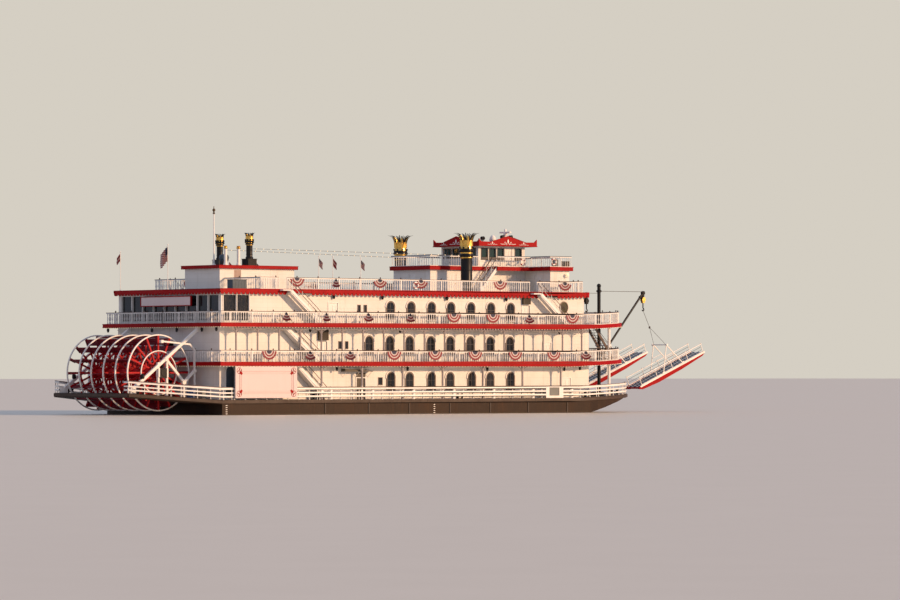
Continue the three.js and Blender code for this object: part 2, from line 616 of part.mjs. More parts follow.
function hurricaneRail() {
  const planAt = (inset) => outline(ROOF_RAIL_PLAN, inset);
  const bars = barsOn(planAt, 0, ROOF_Z, [[GAP, 0.1], [1.06, 1.15]]);
  const half = halfOutline(ROOF_RAIL_PLAN, RAIL_WIDTH / 2);
  const whole = join([bars, ...postsOn(half, ROOF_Z, 0.05, 1.1, POST_PITCH * 4)]);
  const landings = [STAIRS.toRoofAft.top, STAIRS.toRoofFore.top];
  const gates = landings.map((x) =>
    box(x - LANDING_LENGTH + 0.05, x - 0.05, -WIDE, WIDE, ROOF_Z + 0.09, ROOF_Z + 3));
  const railY = ROOF_RAIL_PLAN.half - RAIL_WIDTH / 2;
  const gatePosts = landings.flatMap((x) => [x - LANDING_LENGTH, x]).flatMap((x) =>
    [-railY, railY].map((y) => post(x, y, ROOF_Z + 0.05, ROOF_Z + 1.1)));
  const beside = AFT_HOUSE.half + 0.03;
  const house = box(0, 7, -beside, beside, ROOF_Z - 1, ROOF_Z + 3);
  piece('hurricane_rail', join([cut(whole, [...gates, house]), ...gatePosts]), paint(WHITE, 0.5));
}

// deckhouses on the hurricane deck

function boxRing(x0, x1, half, z0, z1, wall = WALL) {
  const inside = box(x0 + wall, x1 - wall, -half + wall, half - wall, z0 - 1, z1 + 1);
  return box(x0, x1, -half, half, z0, z1).subtract(inside);
}

const AFT_HOUSE = { x0: 4.9, x1: 14.0, half: 2.8, top: 14.15, roof: 14.42 };
const AFT_HOUSE_DOOR = { aft: 6.63, width: 0.85, height: 1.95 };
const AFT_POLE = { x: 6.3, radius: 0.06, top: 20.2 };
const VENT_PIPE = { xs: [5.98, 7.55], y: -2.3, radius: 0.17, top: 16.3 };
const FUNNEL_BOX = { half: 0.52, height: 0.66 };
const TEXAS = { x0: 31.2, x1: 43.9, half: 2.9, top: 14.45 };
const FORE_CABIN = { x0: 43.75, x1: 46.3, half: 6.8 };
const GALLERY = { aft: 39.0, half: 4.15, neck: 37.35, neckHalf: 3.035 };
const EAVE = 0.25;
const BRIDGE_Z = 14.72;

function aftHouse() {
  const { x0, x1, half, top, roof } = AFT_HOUSE;
  const { aft, width, height } = AFT_HOUSE_DOOR;
  const doors = box(aft, aft + width, -half - 1, half + 1, ROOF_Z - 0.1, ROOF_Z + height);
  piece('aft_house_walls', cut(boxRing(x0, x1, half, ROOF_Z + GAP, top - GAP), [doors]), paint(WHITE, 0.55));
  const below = roof - 0.02;
  const cap = [box(x0 - 0.3, x1 + 0.3, -half - EAVE, half + EAVE, top, roof)];
  const { half: boxHalf, height: boxHeight } = FUNNEL_BOX;
  for (const y of [-AFT_FUNNEL.y, AFT_FUNNEL.y]) {
    const [fromX, toX] = [AFT_FUNNEL.x - boxHalf, AFT_FUNNEL.x + boxHalf];
    cap.push(box(fromX, toX, y - boxHalf, y + boxHalf, below, roof + boxHeight));
  }
  const upright = (x, y, radius, z, sides) =>
    turned([[0, below], [radius, below], [radius, z], [0, z]], x, y, sides);
  for (const x of VENT_PIPE.xs) cap.push(upright(x, VENT_PIPE.y, VENT_PIPE.radius, VENT_PIPE.top, 10));
  cap.push(upright(AFT_POLE.x, 0, AFT_POLE.radius, AFT_POLE.top, 8));
  piece('aft_house_roof', join(cap), paint(RED, 0.5));
}

function texas() {
  const low = ROOF_Z + lift(44) + GAP;
  const aft = boxRing(TEXAS.x0, TEXAS.x1, TEXAS.half, ROOF_Z + GAP, TEXAS.top - GAP);
  const fore = boxRing(FORE_CABIN.x0, FORE_CABIN.x1, FORE_CABIN.half, ROOF_Z + GAP, TEXAS.top - GAP);
  const doors = [
    box(41.6, 42.6, -4, 4, ROOF_Z - 0.1, low + 1.95), box(33.6, 34.6, -4, 4, ROOF_Z - 0.1, low + 1.95),
    box(TEXAS.x0 - 1, TEXAS.x0 + 1, -0.5, 0.5, ROOF_Z - 0.1, ROOF_Z + 1.95),
    box(FORE_CABIN.x1 - 1, FORE_CABIN.x1 + 1, -5.6, 5.6, ROOF_Z + 1.1, ROOF_Z + 2.1),
    box(FORE_CABIN.x0 - 1, FORE_CABIN.x0 + 1, -5.4, -4.4, ROOF_Z - 0.1, low + 1.95),
    box(FORE_CABIN.x0 - 1, FORE_CABIN.x0 + 1, 4.4, 5.4, ROOF_Z - 0.1, low + 1.95),
  ];
  const roofBelow = slab(outline(ROOF_PLAN, -2), ROOF_Z - 3, ROOF_Z + GAP);
  piece('texas_walls', cut(join([aft, fore]), [...doors, roofBelow]), paint(WHITE, 0.55));
}

const LADDER = { top: 39.05, foot: 36.75, y0: 3.3, y1: 4.0 };

// half outline of the bridge deck: over the texas, with a gallery beside the pilothouse, and the fore cabin
function bridgeHalf(inset) {
  const [narrow, broad] = [TEXAS.half + EAVE - inset, FORE_CABIN.half + EAVE - inset];
  const aftOfCabin = FORE_CABIN.x0 - EAVE + inset;
  const [neckX, neckY] = [GALLERY.neck - inset, GALLERY.neckHalf - inset];
  const [galleryX, galleryY] = [GALLERY.aft + inset, GALLERY.half - inset];
  return [
    [TEXAS.x0 - EAVE + inset, narrow], [neckX, narrow], [neckX, neckY], [galleryX, neckY],
    [galleryX, galleryY], [aftOfCabin, galleryY], [aftOfCabin, broad], [FORE_CABIN.x1 + EAVE - inset, broad],
  ];
}

function bridgeDeck() {
  const plate = planSolid(mirrored(bridgeHalf(0)), TEXAS.top, BRIDGE_Z);
  const { top, foot, y0, y1 } = LADDER;
  const ladders = [-1, 1].map((s) => stair(top, foot, s * y0, s * y1, BRIDGE_Z, ROOF_Z));
  piece('bridge_deck', join([plate, ...ladders]), paint(RED, 0.5));
}

const PILOTHOUSE = { x0: 37.5, x1: 43.7, half: 2.9, sill: 15.72, head: 16.6, top: 16.85 };

// windows of the pilothouse side: aft edge, width
const PILOT_SIDE_WINDOWS = [[37.9, 0.85], [38.98, 0.85], [40.06, 0.85], [42.35, 0.95]];

function bridgeRail() {
  const [z0, z1] = [BRIDGE_Z + GAP, BRIDGE_Z + 1.05];
  const inset = 0.06;
  const [outer, inner] = [inset, inset + RAIL_WIDTH].map((at) => mirrored(bridgeHalf(at)));
  const bars = [[z0, z0 + 0.08], [z1 - 0.08, z1]].map(([a, b]) =>
    planSolid(outer, a, b).subtract(planSolid(inner, a - 1, b + 1)));
  const middle = bridgeHalf(inset + RAIL_WIDTH / 2);
  const [aftX, narrow] = middle[0];
  const [foreX, broad] = middle[7];
  const posts = [
    [aftX, 1.2], [aftX + 2, narrow], [LADDER.foot - 0.35, narrow], [GALLERY.aft + 2, middle[4][1]], middle[5],
    [middle[6][0], 5.6], [foreX - 1.4, broad], [foreX, 4.4], [foreX, 1.5],
  ].flatMap(([x, y]) => [-y, y].map((at) =>
    box(x - 0.025, x + 0.025, at - 0.025, at + 0.025, z0 + 0.04, z1 - 0.04)));
  const gates = [-1, 1].map((s) => {
    const [a, b] = [s * LADDER.y0, s * LADDER.y1].sort((p, q) => p - q);
    return box(GALLERY.aft - 0.1, GALLERY.aft + 0.3, a, b, z0 + 0.09, z1 + 1);
  });
  const gateY = LADDER.y0 + 0.01;
  const besideHouse = box(PILOTHOUSE.x0 - 0.05, GALLERY.aft + 0.3, -gateY, gateY, z0 + 0.09, z1 + 1);
  piece('bridge_rail', cut(join([...bars, ...posts]), [...gates, besideHouse]), paint(WHITE, 0.5));
}

function pilothouse() {
  const { x0, x1, half, sill, head, top } = PILOTHOUSE;
  const walls = boxRing(x0, x1, half, BRIDGE_Z + GAP, top - GAP, 0.12);
  const windows = PILOT_SIDE_WINDOWS.map(([x, width]) => box(x, x + width, -WIDE, WIDE, sill, head));
  const door = box(41.2, 42.0, -WIDE, WIDE, BRIDGE_Z - 0.1, head);
  const ends = [-1.95, -0.65, 0.65, 1.95].map((y) => box(x0 - 1, x1 + 1, y - 0.55, y + 0.55, sill, head));
  piece('pilothouse_walls', cut(walls, [...windows, ...ends, door]), paint(WHITE, 0.55));
  const inside = 0.12 + GAP;
  const pane = boxRing(x0 + inside, x1 - inside, half - inside, sill - 0.2, head + 0.15, 0.03);
  const doorGap = box(41.1, 42.1, -WIDE, WIDE, 14, sill - 0.1);
  piece('pilothouse_glass', cut(pane, [doorGap]), paint(GLASS, 0.15));
}

const PILOT_ROOF = { x0: 37.0, x1: 44.75, half: 3.6, low: 16.85, board: 0.42, peak: 1.02, horn: 0.72 };

// red board with horns at its ends and a crest in the middle, over a run of the given length
function crestedBoard(start, length) {
  const { low, board, peak, horn } = PILOT_ROOF;
  const at = (share, height) => [start + length * share, low + height];
  const rising = [[0, horn], [0.045, board + 0.02], [0.2, board], [0.36, board + 0.32], [0.5, peak]];
  const falling = rising.slice(0, -1).reverse().map(([share, height]) => [1 - share, height]);
  const crest = [...rising, ...falling].reverse().map(([share, height]) => at(share, height));
  return [at(0, 0), at(1, 0), ...crest];
}

function pilothouseRoof() {
  const { x0, x1, half, low } = PILOT_ROOF;
  const thick = 0.1;
  const sides = [-half, half - thick].map((y) => sideSolid(crestedBoard(x0, x1 - x0), y, y + thick));
  const endShape = crestedBoard(-half, 2 * half);
  const turn = new THREE.Matrix4().makeBasis(
    new THREE.Vector3(0, 1, 0), new THREE.Vector3(0, 0, 1), new THREE.Vector3(1, 0, 0),
  );
  const ends = [x0, x1 - thick].map((x) =>
    solidOf(extrude(endShape, thick).applyMatrix4(turn).translate(x, 0, 0)));
  const cover = box(x0 + 0.05, x1 - 0.05, -half + 0.05, half - 0.05, low, low + 0.2);
  const mast = turned([[0, low], [0.09, low], [0.09, 18.7], [0, 18.7]], 43.6, 0, 8);
  piece('pilothouse_roof', join([...sides, ...ends, cover, mast]), paint(RED, 0.5));
}

// funnels

const FORWARD_FUNNEL = {
  x: 34.0, y: 5.2, top: 18.0, r: 0.58, crown: 2.55, flare: 2.0, segments: 16, tips: 10,
};
const AFT_FUNNEL = { x: 8.82, y: 2.37, top: 17.6, r: 0.31, crown: 1.24, flare: 1.7, segments: 10, tips: 6 };

// a pipe with a thicker collar and a crown of curved tips; r is the pipe's radius, and the flare and
// the profile are in shares of it and of the crown's height
function funnel(name, side, footZ, { x, y, top, r, crown, flare, segments, tips }) {
  const at = (radius, share) => [r * radius, top - crown + crown * share];
  const profile = [
    [0, footZ], [r, footZ], at(1, 0), at(1.14, 0.03), at(1.14, 0.4), at(1, 0.56), at(1.06, 0.66),
    at(0.86, 0.66), at(0, 0.5),
  ];
  const outside = [at(1.05, 0.56), at(1.22, 0.8), at(flare, 1)];
  const inside = [at(flare - 0.14, 1), at(1.08, 0.8), at(0.92, 0.56)];
  const tip = [...outside, ...inside];
  const wide = r * 0.36;
  const blades = Array.from({ length: tips }, (_, i) => {
    const blade = extrude(tip, wide).rotateX(Math.PI / 2).translate(0, wide / 2, 0);
    return solidOf(blade.rotateZ((2 * Math.PI * (i + 0.5)) / tips).translate(x, side * y, 0));
  });
  piece(name, join([turned(profile, x, side * y, segments), ...blades]), paint(BLACK, 0.4, 0.2));
}

function funnels() {
  for (const [side, s] of SIDES) {
    funnel(`forward_funnel_${side}`, s, ROOF_Z + GAP, FORWARD_FUNNEL);
    funnel(`aft_funnel_${side}`, s, AFT_HOUSE.roof + FUNNEL_BOX.height + GAP, AFT_FUNNEL);
  }
}

// name boards, left blank

function signs() {
  for (const [side, s] of SIDES) {
    const [a, b] = [s * 9.46, s * 9.54].sort((p, q) => p - q);
    const board = box(1.7, 9.1, a, b, 1.62, DECK_2_Z - SLAB - 0.08);
    const stays = [2.4, 8.4].map((x) => {
      const [c, d] = [s * 9.31, s * 9.5].sort((p, q) => p - q);
      return box(x - 0.05, x + 0.05, c, d, 1.62, 1.8);
    });
    piece(`side_sign_${side}`, join([board, ...stays]), paint(SIGN_WHITE, 0.6));
  }
}

// masts, derrick booms and landing stages at the bow

function bowGear() {
  for (const [side, s] of SIDES) {
    const y = s * MAST.y;
    const { radius, top } = MAST;
    const foot = MAIN_DECK_Z + lift(MAST.x + radius) + GAP;
    const knob = [[0.24, top + 0.1], [0.16, top + 0.3], [0, top + 0.36]];
    const mast = turned([[0, foot], [radius, foot], [radius, top], ...knob], MAST.x, y, 12);
    piece(`mast_${side}`, mast, paint(BLACK, 0.45));
    const heel = MAST.x + radius + 0.16;
    const pole = rod([heel, y, BOOM.foot], [BOOM.tipX, y, BOOM.tipZ], BOOM.radius, 8);
    const sheave = rod([BOOM.tipX, y - 0.14, BOOM.tipZ], [BOOM.tipX, y + 0.14, BOOM.tipZ], 0.2, 12);
    const { tipX, tipZ } = BOOM;
    const block = box(tipX - 0.12, tipX + 0.12, y - 0.09, y + 0.09, tipZ - 1, tipZ - 0.1);
    piece(`boom_${side}`, join([pole, sheave, block]), paint(BLACK, 0.45));
    stage(side, y);
  }
}

const STAGE_RAIL = 1.0;
const STAGE_POSTS = 5;
const FRAME_AT = 5.3;
const FRAME_HEIGHT = 2.7;

// the stage lies along its own x from its foot, and a turned group lays it at its slope
function stage(side, y) {
  const holder = new THREE.Group();
  holder.position.set(STAGE.footX, y, STAGE.footZ);
  holder.rotation.y = -THREE.MathUtils.degToRad(STAGE.angle);
  boat.add(holder);
  const { length, half } = STAGE;
  const under = [[0, -0.12], [0.5, -0.34], [2.8, -0.5], [6.5, -0.44], [9.6, -0.24], [length, -0.05]];
  const beam = [...under, [length, 0.06], [0, 0.06]];
  const beams = [-half, half - 0.14].map((at) => sideSolid(beam, at, at + 0.14));
  const tread = box(0.05, length - 0.05, -half + 0.05, half - 0.05, -0.04, 0.03);
  const pin = rod([0.08, -half - 0.12, -0.03], [0.08, half + 0.12, -0.03], 0.09, 12);
  addTo(holder, `stage_${side}`, join([...beams, tread, pin]), paint(RED, 0.5));

  const parts = [];
  for (const s of [-1, 1]) {
    const at = s * (half - 0.06);
    const foot = 0.06 + GAP;
    parts.push(box(0.5, length - 0.1, at - 0.04, at + 0.04, foot, foot + 0.1));
    parts.push(box(0.5, length - 0.1, at - 0.03, at + 0.03, STAGE_RAIL - 0.07, STAGE_RAIL));
    for (let i = 0; i < STAGE_POSTS; i++) {
      const x = 0.55 + ((length - 0.75) * i) / (STAGE_POSTS - 1);
      parts.push(box(x - 0.03, x + 0.03, at - 0.02, at + 0.02, foot + 0.05, STAGE_RAIL - 0.03));
    }
    for (const spread of [-1.45, 1.45]) {
      parts.push(bar([FRAME_AT + spread, foot + 0.07], [FRAME_AT, FRAME_HEIGHT], at, 0.06, 0.09));
    }
  }
  parts.push(rod([FRAME_AT, -half, FRAME_HEIGHT], [FRAME_AT, half, FRAME_HEIGHT], 0.06, 8));
  addTo(holder, `stage_rails_${side}`, join(parts), paint(WHITE, 0.5));
}

function addTo(holder, name, solid, material) {
  piece(name, solid, material);
  const mesh = boat.getObjectByName(name);
  holder.add(mesh);
}

hull();
fantail();
engine();
rudders();
paddleWheel();
sternTrusses();
houses();
doors();
decks();
hurricaneDeck();
mainRails();
upperRails();
deckPosts();
hurricaneRail();
aftHouse();
texas();
bridgeDeck();
bridgeRail();
pilothouse();
pilothouseRoof();
funnels();
signs();
bowGear();

const model = new THREE.Group();
model.scale.setScalar(MODEL_MM_PER_METRE);
model.add(boat);
export default model;
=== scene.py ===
import math

import bpy
from mathutils import Matrix, Vector


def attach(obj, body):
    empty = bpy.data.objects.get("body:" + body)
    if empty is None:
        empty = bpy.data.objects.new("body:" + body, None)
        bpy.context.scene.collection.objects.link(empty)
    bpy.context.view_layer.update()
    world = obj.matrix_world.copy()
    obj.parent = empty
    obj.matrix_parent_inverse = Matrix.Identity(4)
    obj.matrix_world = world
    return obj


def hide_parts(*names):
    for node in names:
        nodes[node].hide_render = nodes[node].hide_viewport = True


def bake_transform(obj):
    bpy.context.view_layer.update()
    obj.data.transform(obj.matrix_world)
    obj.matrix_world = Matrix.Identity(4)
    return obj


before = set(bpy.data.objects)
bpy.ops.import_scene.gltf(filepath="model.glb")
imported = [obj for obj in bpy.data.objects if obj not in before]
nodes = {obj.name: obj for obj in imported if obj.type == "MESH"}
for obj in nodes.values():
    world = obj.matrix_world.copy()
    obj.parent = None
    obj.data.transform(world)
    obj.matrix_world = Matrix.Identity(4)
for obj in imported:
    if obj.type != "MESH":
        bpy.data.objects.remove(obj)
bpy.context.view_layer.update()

# The boat is modelled at full size and then halved. x runs forward from the aft edge of the third deck,
# y to port and z up from the water.
WATER_LEVEL = 0.75
HALVE = Matrix.Translation((-12, 0, WATER_LEVEL)) @ Matrix.Scale(0.5, 4)
SIDES = (("starboard", -1), ("port", 1))

MAIN_DECK = 1.45
DECK_2 = 5.0
DECK_3 = 8.72
ROOF = 12.0
SLAB = 0.3

# plans: aft edge, half-breadth, where the shoulder starts, nose and its half-breadth
HULL_PLAN = (0.3, 9.3, 46.8, 56.2, 2.6)
DECK_PLAN = (0.0, 9.45, 46.8, 54.6, 3.6)
ROOF_PLAN = (0.7, 8.55, 47.0, 47.8, 7.6)
ROOF_RAIL_PLAN = (5.45, 8.51, 46.3, 47.1, 7.6)
# the deck line is level up to here, and its lift at other x
SHEER_START = 44.0
SHEER = ((-8.4, 0.66), (0.3, 0.0), (SHEER_START, 0.0), (56.6, 0.53))
WALL_Y = 8.2


# outlines and the sheer line


def lift(x):
    """How far the deck line is above its level at midship."""
    for (x0, low), (x1, high) in zip(SHEER, SHEER[1:]):
        if x <= x1:
            return low + (high - low) * (x - x0) / (x1 - x0)
    return SHEER[-1][1]


def half_outline(plan, inset, steps=6):
    aft, half, shoulder, nose, nose_half = plan
    points = [(aft + inset, half - inset), (SHEER_START, half - inset), (shoulder, half - inset)]
    for step in range(1, steps + 1):
        turn = math.pi / 2 * step / steps
        x = shoulder + (nose - inset - shoulder) * math.sin(turn)
        points.append((x, nose_half + (half - inset - nose_half) * math.cos(turn)))
    return points


def mirrored(half):
    return [(x, -y) for x, y in half] + list(reversed(half))


def outline(plan, inset=0.0, steps=6):
    return mirrored(half_outline(plan, inset, steps))


def stations(path, spacing, first=0.0):
    """Points at even spacing along a path of x, y, each with the direction of the path there."""
    found = []
    carried = first
    for (x0, y0), (x1, y1) in zip(path, path[1:]):
        length = math.hypot(x1 - x0, y1 - y0)
        at = carried
        while at < length:
            share = at / length
            found.append((x0 + (x1 - x0) * share, y0 + (y1 - y0) * share, math.atan2(y1 - y0, x1 - x0)))
            at += spacing
        carried = at - length
    return found


# parts made with the modelling operators


def select(parts):
    bpy.ops.object.select_all(action="DESELECT")
    for part in parts:
        part.select_set(True)
    bpy.context.view_layer.objects.active = parts[0]


def settle_transform():
    bpy.ops.object.transform_apply(location=True, rotation=True, scale=True)
    return bpy.context.object


def block(x0, x1, y0, y1, z0, z1):
    middle = ((x0 + x1) / 2, (y0 + y1) / 2, (z0 + z1) / 2)
    size = (abs(x1 - x0), abs(y1 - y0), abs(z1 - z0))
    bpy.ops.mesh.primitive_cube_add(size=1, location=middle, scale=size)
    return settle_transform()


def beam(start, end, width, depth):
    """A square bar between two points, with its depth upright."""
    start, end = Vector(start), Vector(end)
    along = end - start
    turn = along.to_track_quat("X", "Z").to_euler()
    size = (along.length, width, depth)
    bpy.ops.mesh.primitive_cube_add(size=1, location=(start + end) / 2, rotation=turn, scale=size)
    return settle_transform()


def rod(start, end, radius, sides=8):
    start, end = Vector(start), Vector(end)
    along = end - start
    turn = along.to_track_quat("Z", "Y").to_euler()
    bpy.ops.mesh.primitive_cylinder_add(
        vertices=sides, radius=radius, depth=along.length, location=(start + end) / 2, rotation=turn
    )
    return settle_transform()


def ball(centre, radius, segments=16, rings=10):
    bpy.ops.mesh.primitive_uv_sphere_add(
        segments=segments, ring_count=rings, radius=radius, location=centre
    )
    return settle_transform()


def turned(x, y, profile, sides=24):
    """A turned shape on an upright axis. The profile gives radius and height from one end to the other."""
    radius, height = profile[0]
    bpy.ops.mesh.primitive_circle_add(
        vertices=sides, radius=radius, fill_type="NGON", location=(x, y, height)
    )
    part = settle_transform()
    bpy.ops.object.mode_set(mode="EDIT")
    for next_radius, next_height in profile[1:]:
        bpy.ops.mesh.extrude_region_move(TRANSFORM_OT_translate={"value": (0, 0, next_height - height)})
        share = next_radius / radius
        bpy.ops.transform.resize(value=(share, share, 1), center_override=(x, y, next_height))
        radius, height = next_radius, next_height
    bpy.ops.mesh.select_all(action="SELECT")
    bpy.ops.mesh.normals_make_consistent(inside=False)
    bpy.ops.object.mode_set(mode="OBJECT")
    return part


def convert_curve(drawn):
    part = bpy.data.objects.new("part", drawn)
    bpy.context.collection.objects.link(part)
    select([part])
    bpy.ops.object.convert(target="MESH")
    bpy.ops.object.mode_set(mode="EDIT")
    bpy.ops.mesh.select_all(action="SELECT")
    bpy.ops.mesh.remove_doubles(threshold=0.0005)
    bpy.ops.mesh.normals_make_consistent(inside=False)
    bpy.ops.object.mode_set(mode="OBJECT")
    return bpy.context.object


def board(outlines, thickness):
    """A flat board, that thick up from z 0. The first outline is its edge and the rest are its holes."""
    drawn = bpy.data.curves.new("board", "CURVE")
    drawn.dimensions = "2D"
    drawn.fill_mode = "BOTH"
    drawn.extrude = thickness / 2
    for points in outlines:
        spline = drawn.splines.new("POLY")
        spline.points.add(len(points) - 1)
        spline.use_cyclic_u = True
        for point, (u, v) in zip(spline.points, points):
            point.co = (u, v, 0, 1)
    part = convert_curve(drawn)
    part.data.transform(shift(0, 0, thickness / 2))
    return part


def pipe(points, radius, sides=6, closed=False):
    drawn = bpy.data.curves.new("pipe", "CURVE")
    drawn.dimensions = "3D"
    drawn.bevel_depth = radius
    drawn.bevel_resolution = max(0, sides // 2 - 2)
    drawn.use_fill_caps = True
    spline = drawn.splines.new("POLY")
    spline.points.add(len(points) - 1)
    spline.use_cyclic_u = closed
    for point, place in zip(spline.points, points):
        point.co = (*place, 1)
    return convert_curve(drawn)


def copies(template, places):
    """Copies of a part, each with its own mesh, moved by the given matrices."""
    made = []
    for place in places:
        copy = template.copy()
        copy.data = template.data.copy()
        copy.data.transform(place)
        if place.determinant() < 0:
            copy.data.flip_normals()
        bpy.context.collection.objects.link(copy)
        made.append(copy)
    bpy.data.objects.remove(template)
    return made


def joined(parts):
    parts = list(parts)
    select(parts)
    if len(parts) > 1:
        bpy.ops.object.join()
    return bpy.context.object


def lifted(part):
    for vertex in part.data.vertices:
        vertex.co.z += lift(vertex.co.x)
    return part


def painted(part, finish):
    part.data.materials.clear()
    part.data.materials.append(finish)
    return part


def raised(profile, low):
    """A profile of radius and height, lifted by that much."""
    return [(radius, low + height) for radius, height in profile]


def eased(part, width=0.01):
    """Eases the part's sharp edges with an applied bevel."""
    select([part])
    bevel = part.modifiers.new("eased", "BEVEL")
    bevel.width = width
    bevel.limit_method = "ANGLE"
    bevel.angle_limit = math.radians(40)
    bpy.ops.object.modifier_apply(modifier="eased")
    return part


def settle(name, parts, body, replaces=(), smooth=35):
    """Joins the parts into one named piece at half size, which rides on a body.
    A piece given no body is left unattached."""
    piece = joined(parts)
    piece.name = name
    piece.data.name = name
    piece.data.transform(HALVE)
    if smooth:
        bpy.ops.object.shade_smooth_by_angle(angle=math.radians(smooth))
    if replaces:
        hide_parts(*replaces)
    if body:
        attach(piece, body)
    return piece


FACINGS = {
    "starboard": Matrix(((1, 0, 0, 0), (0, 0, -1, 0), (0, 1, 0, 0), (0, 0, 0, 1))),
    "port": Matrix(((-1, 0, 0, 0), (0, 0, 1, 0), (0, 1, 0, 0), (0, 0, 0, 1))),
    "aft": Matrix(((0, 0, -1, 0), (-1, 0, 0, 0), (0, 1, 0, 0), (0, 0, 0, 1))),
    "fore": Matrix(((0, 0, 1, 0), (1, 0, 0, 0), (0, 1, 0, 0), (0, 0, 0, 1))),
}


UPRIGHT = Matrix.Rotation(math.pi / 2, 4, "X")


def facing(side, x, y, z):
    """Places a board drawn flat on a wall that faces that way: u along it, v up and thickness outwards."""
    return shift(x, y, z) @ FACINGS[side]


def placed(part, place):
    part.data.transform(place)
    return part


def shift(x, y, z):
    return Matrix.Translation((x, y, z))


def stood_up(part, thick):
    """A board stood up in the x, z plane, with its thickness about y 0."""
    return placed(part, UPRIGHT @ shift(0, 0, -thick / 2))


def all_painted(parts, finish):
    return [painted(part, finish) for part in parts]


def plan_ring(plan, outer, inner, low, high, steps=6):
    """A strip that follows an outline between two insets, laid to the sheer line."""
    part = board([outline(plan, outer, steps), outline(plan, inner, steps)], high - low)
    return lifted(placed(part, shift(0, 0, low)))


# shared effects, as node groups


def new_group(name, inputs, outputs):
    tree = bpy.data.node_groups.new(name, "ShaderNodeTree")
    for label, kind, value in inputs:
        socket = tree.interface.new_socket(label, in_out="INPUT", socket_type=kind)
        socket.default_value = value
    for label, kind in outputs:
        tree.interface.new_socket(label, in_out="OUTPUT", socket_type=kind)
    return tree, tree.nodes.new("NodeGroupInput"), tree.nodes.new("NodeGroupOutput")


def calculate(tree, operation, first, second=None, third=None, clamp=False):
    node = tree.nodes.new("ShaderNodeMath")
    node.operation = operation
    node.use_clamp = clamp
    for socket, value in zip(node.inputs, (first, second, third)):
        if isinstance(value, (int, float)):
            socket.default_value = value
        elif value is not None:
            tree.links.new(value, socket)
    return node.outputs[0]


def times(tree, first, second, clamp=False):
    return calculate(tree, "MULTIPLY", first, second, clamp=clamp)


def split_axes(tree, vector):
    node = tree.nodes.new("ShaderNodeSeparateXYZ")
    tree.links.new(vector, node.inputs[0])
    return node.outputs


def noise(tree, vector, scale, detail=3.0, roughness=0.55):
    node = tree.nodes.new("ShaderNodeTexNoise")
    tree.links.new(vector, node.inputs["Vector"])
    node.inputs["Detail"].default_value = detail
    node.inputs["Roughness"].default_value = roughness
    if isinstance(scale, (int, float)):
        node.inputs["Scale"].default_value = scale
    else:
        tree.links.new(scale, node.inputs["Scale"])
    return node.outputs["Fac"]


def stretched(tree, vector, scale):
    node = tree.nodes.new("ShaderNodeMapping")
    tree.links.new(vector, node.inputs["Vector"])
    node.inputs["Scale"].default_value = scale
    return node.outputs["Vector"]


def spread(tree, value, low, high, to_low=0.0, to_high=1.0):
    node = tree.nodes.new("ShaderNodeMapRange")
    node.interpolation_type = "SMOOTHSTEP"
    tree.links.new(value, node.inputs["Value"])
    for label, number in (("From Min", low), ("From Max", high), ("To Min", to_low), ("To Max", to_high)):
        if isinstance(number, (int, float)):
            node.inputs[label].default_value = number
        else:
            tree.links.new(number, node.inputs[label])
    return node.outputs["Result"]


def blended(tree, factor, first, second):
    """A mix of two colours."""
    node = tree.nodes.new("ShaderNodeMix")
    node.data_type = "RGBA"
    colours = [socket for socket in node.inputs if socket.type == "RGBA"]
    for socket, value in ((node.inputs[0], factor), (colours[0], first), (colours[1], second)):
        if isinstance(value, (int, float, tuple)):
            socket.default_value = value
        else:
            tree.links.new(value, socket)
    return next(socket for socket in node.outputs if socket.type == "RGBA")


def object_point(tree):
    return tree.nodes.new("ShaderNodeTexCoord").outputs["Object"]


def weathering_group():
    """Sun-faded patches and rain streaks that run down."""
    tree, given, made = new_group(
        "weathering",
        (
            ("Clean", "NodeSocketColor", (0.8, 0.8, 0.8, 1)),
            ("Grime", "NodeSocketColor", (0.3, 0.25, 0.2, 1)),
            ("Amount", "NodeSocketFloat", 0.3),
            ("Size", "NodeSocketFloat", 1.0),
        ),
        (("Color", "NodeSocketColor"), ("Roughness", "NodeSocketFloat"), ("Height", "NodeSocketFloat")),
    )
    point = object_point(tree)
    patches = noise(tree, point, given.outputs["Size"], 4.0, 0.6)
    down = stretched(tree, point, (5.0, 5.0, 0.35))
    streaks = spread(tree, noise(tree, down, times(tree, given.outputs["Size"], 1.6), 3.0), 0.52, 0.78)
    cloudy = spread(tree, patches, 0.35, 0.75)
    both = calculate(tree, "MULTIPLY_ADD", streaks, 0.65, times(tree, cloudy, 0.5))
    dirt = times(tree, both, given.outputs["Amount"], clamp=True)
    fine = noise(tree, point, 60.0, 2.0)
    results = {
        "Color": blended(tree, dirt, given.outputs["Clean"], given.outputs["Grime"]),
        "Roughness": calculate(tree, "MULTIPLY_ADD", dirt, 0.35, times(tree, fine, 0.18)),
        "Height": calculate(tree, "ADD", fine, times(tree, streaks, 0.5)),
    }
    for label, value in results.items():
        tree.links.new(value, made.inputs[label])
    return tree


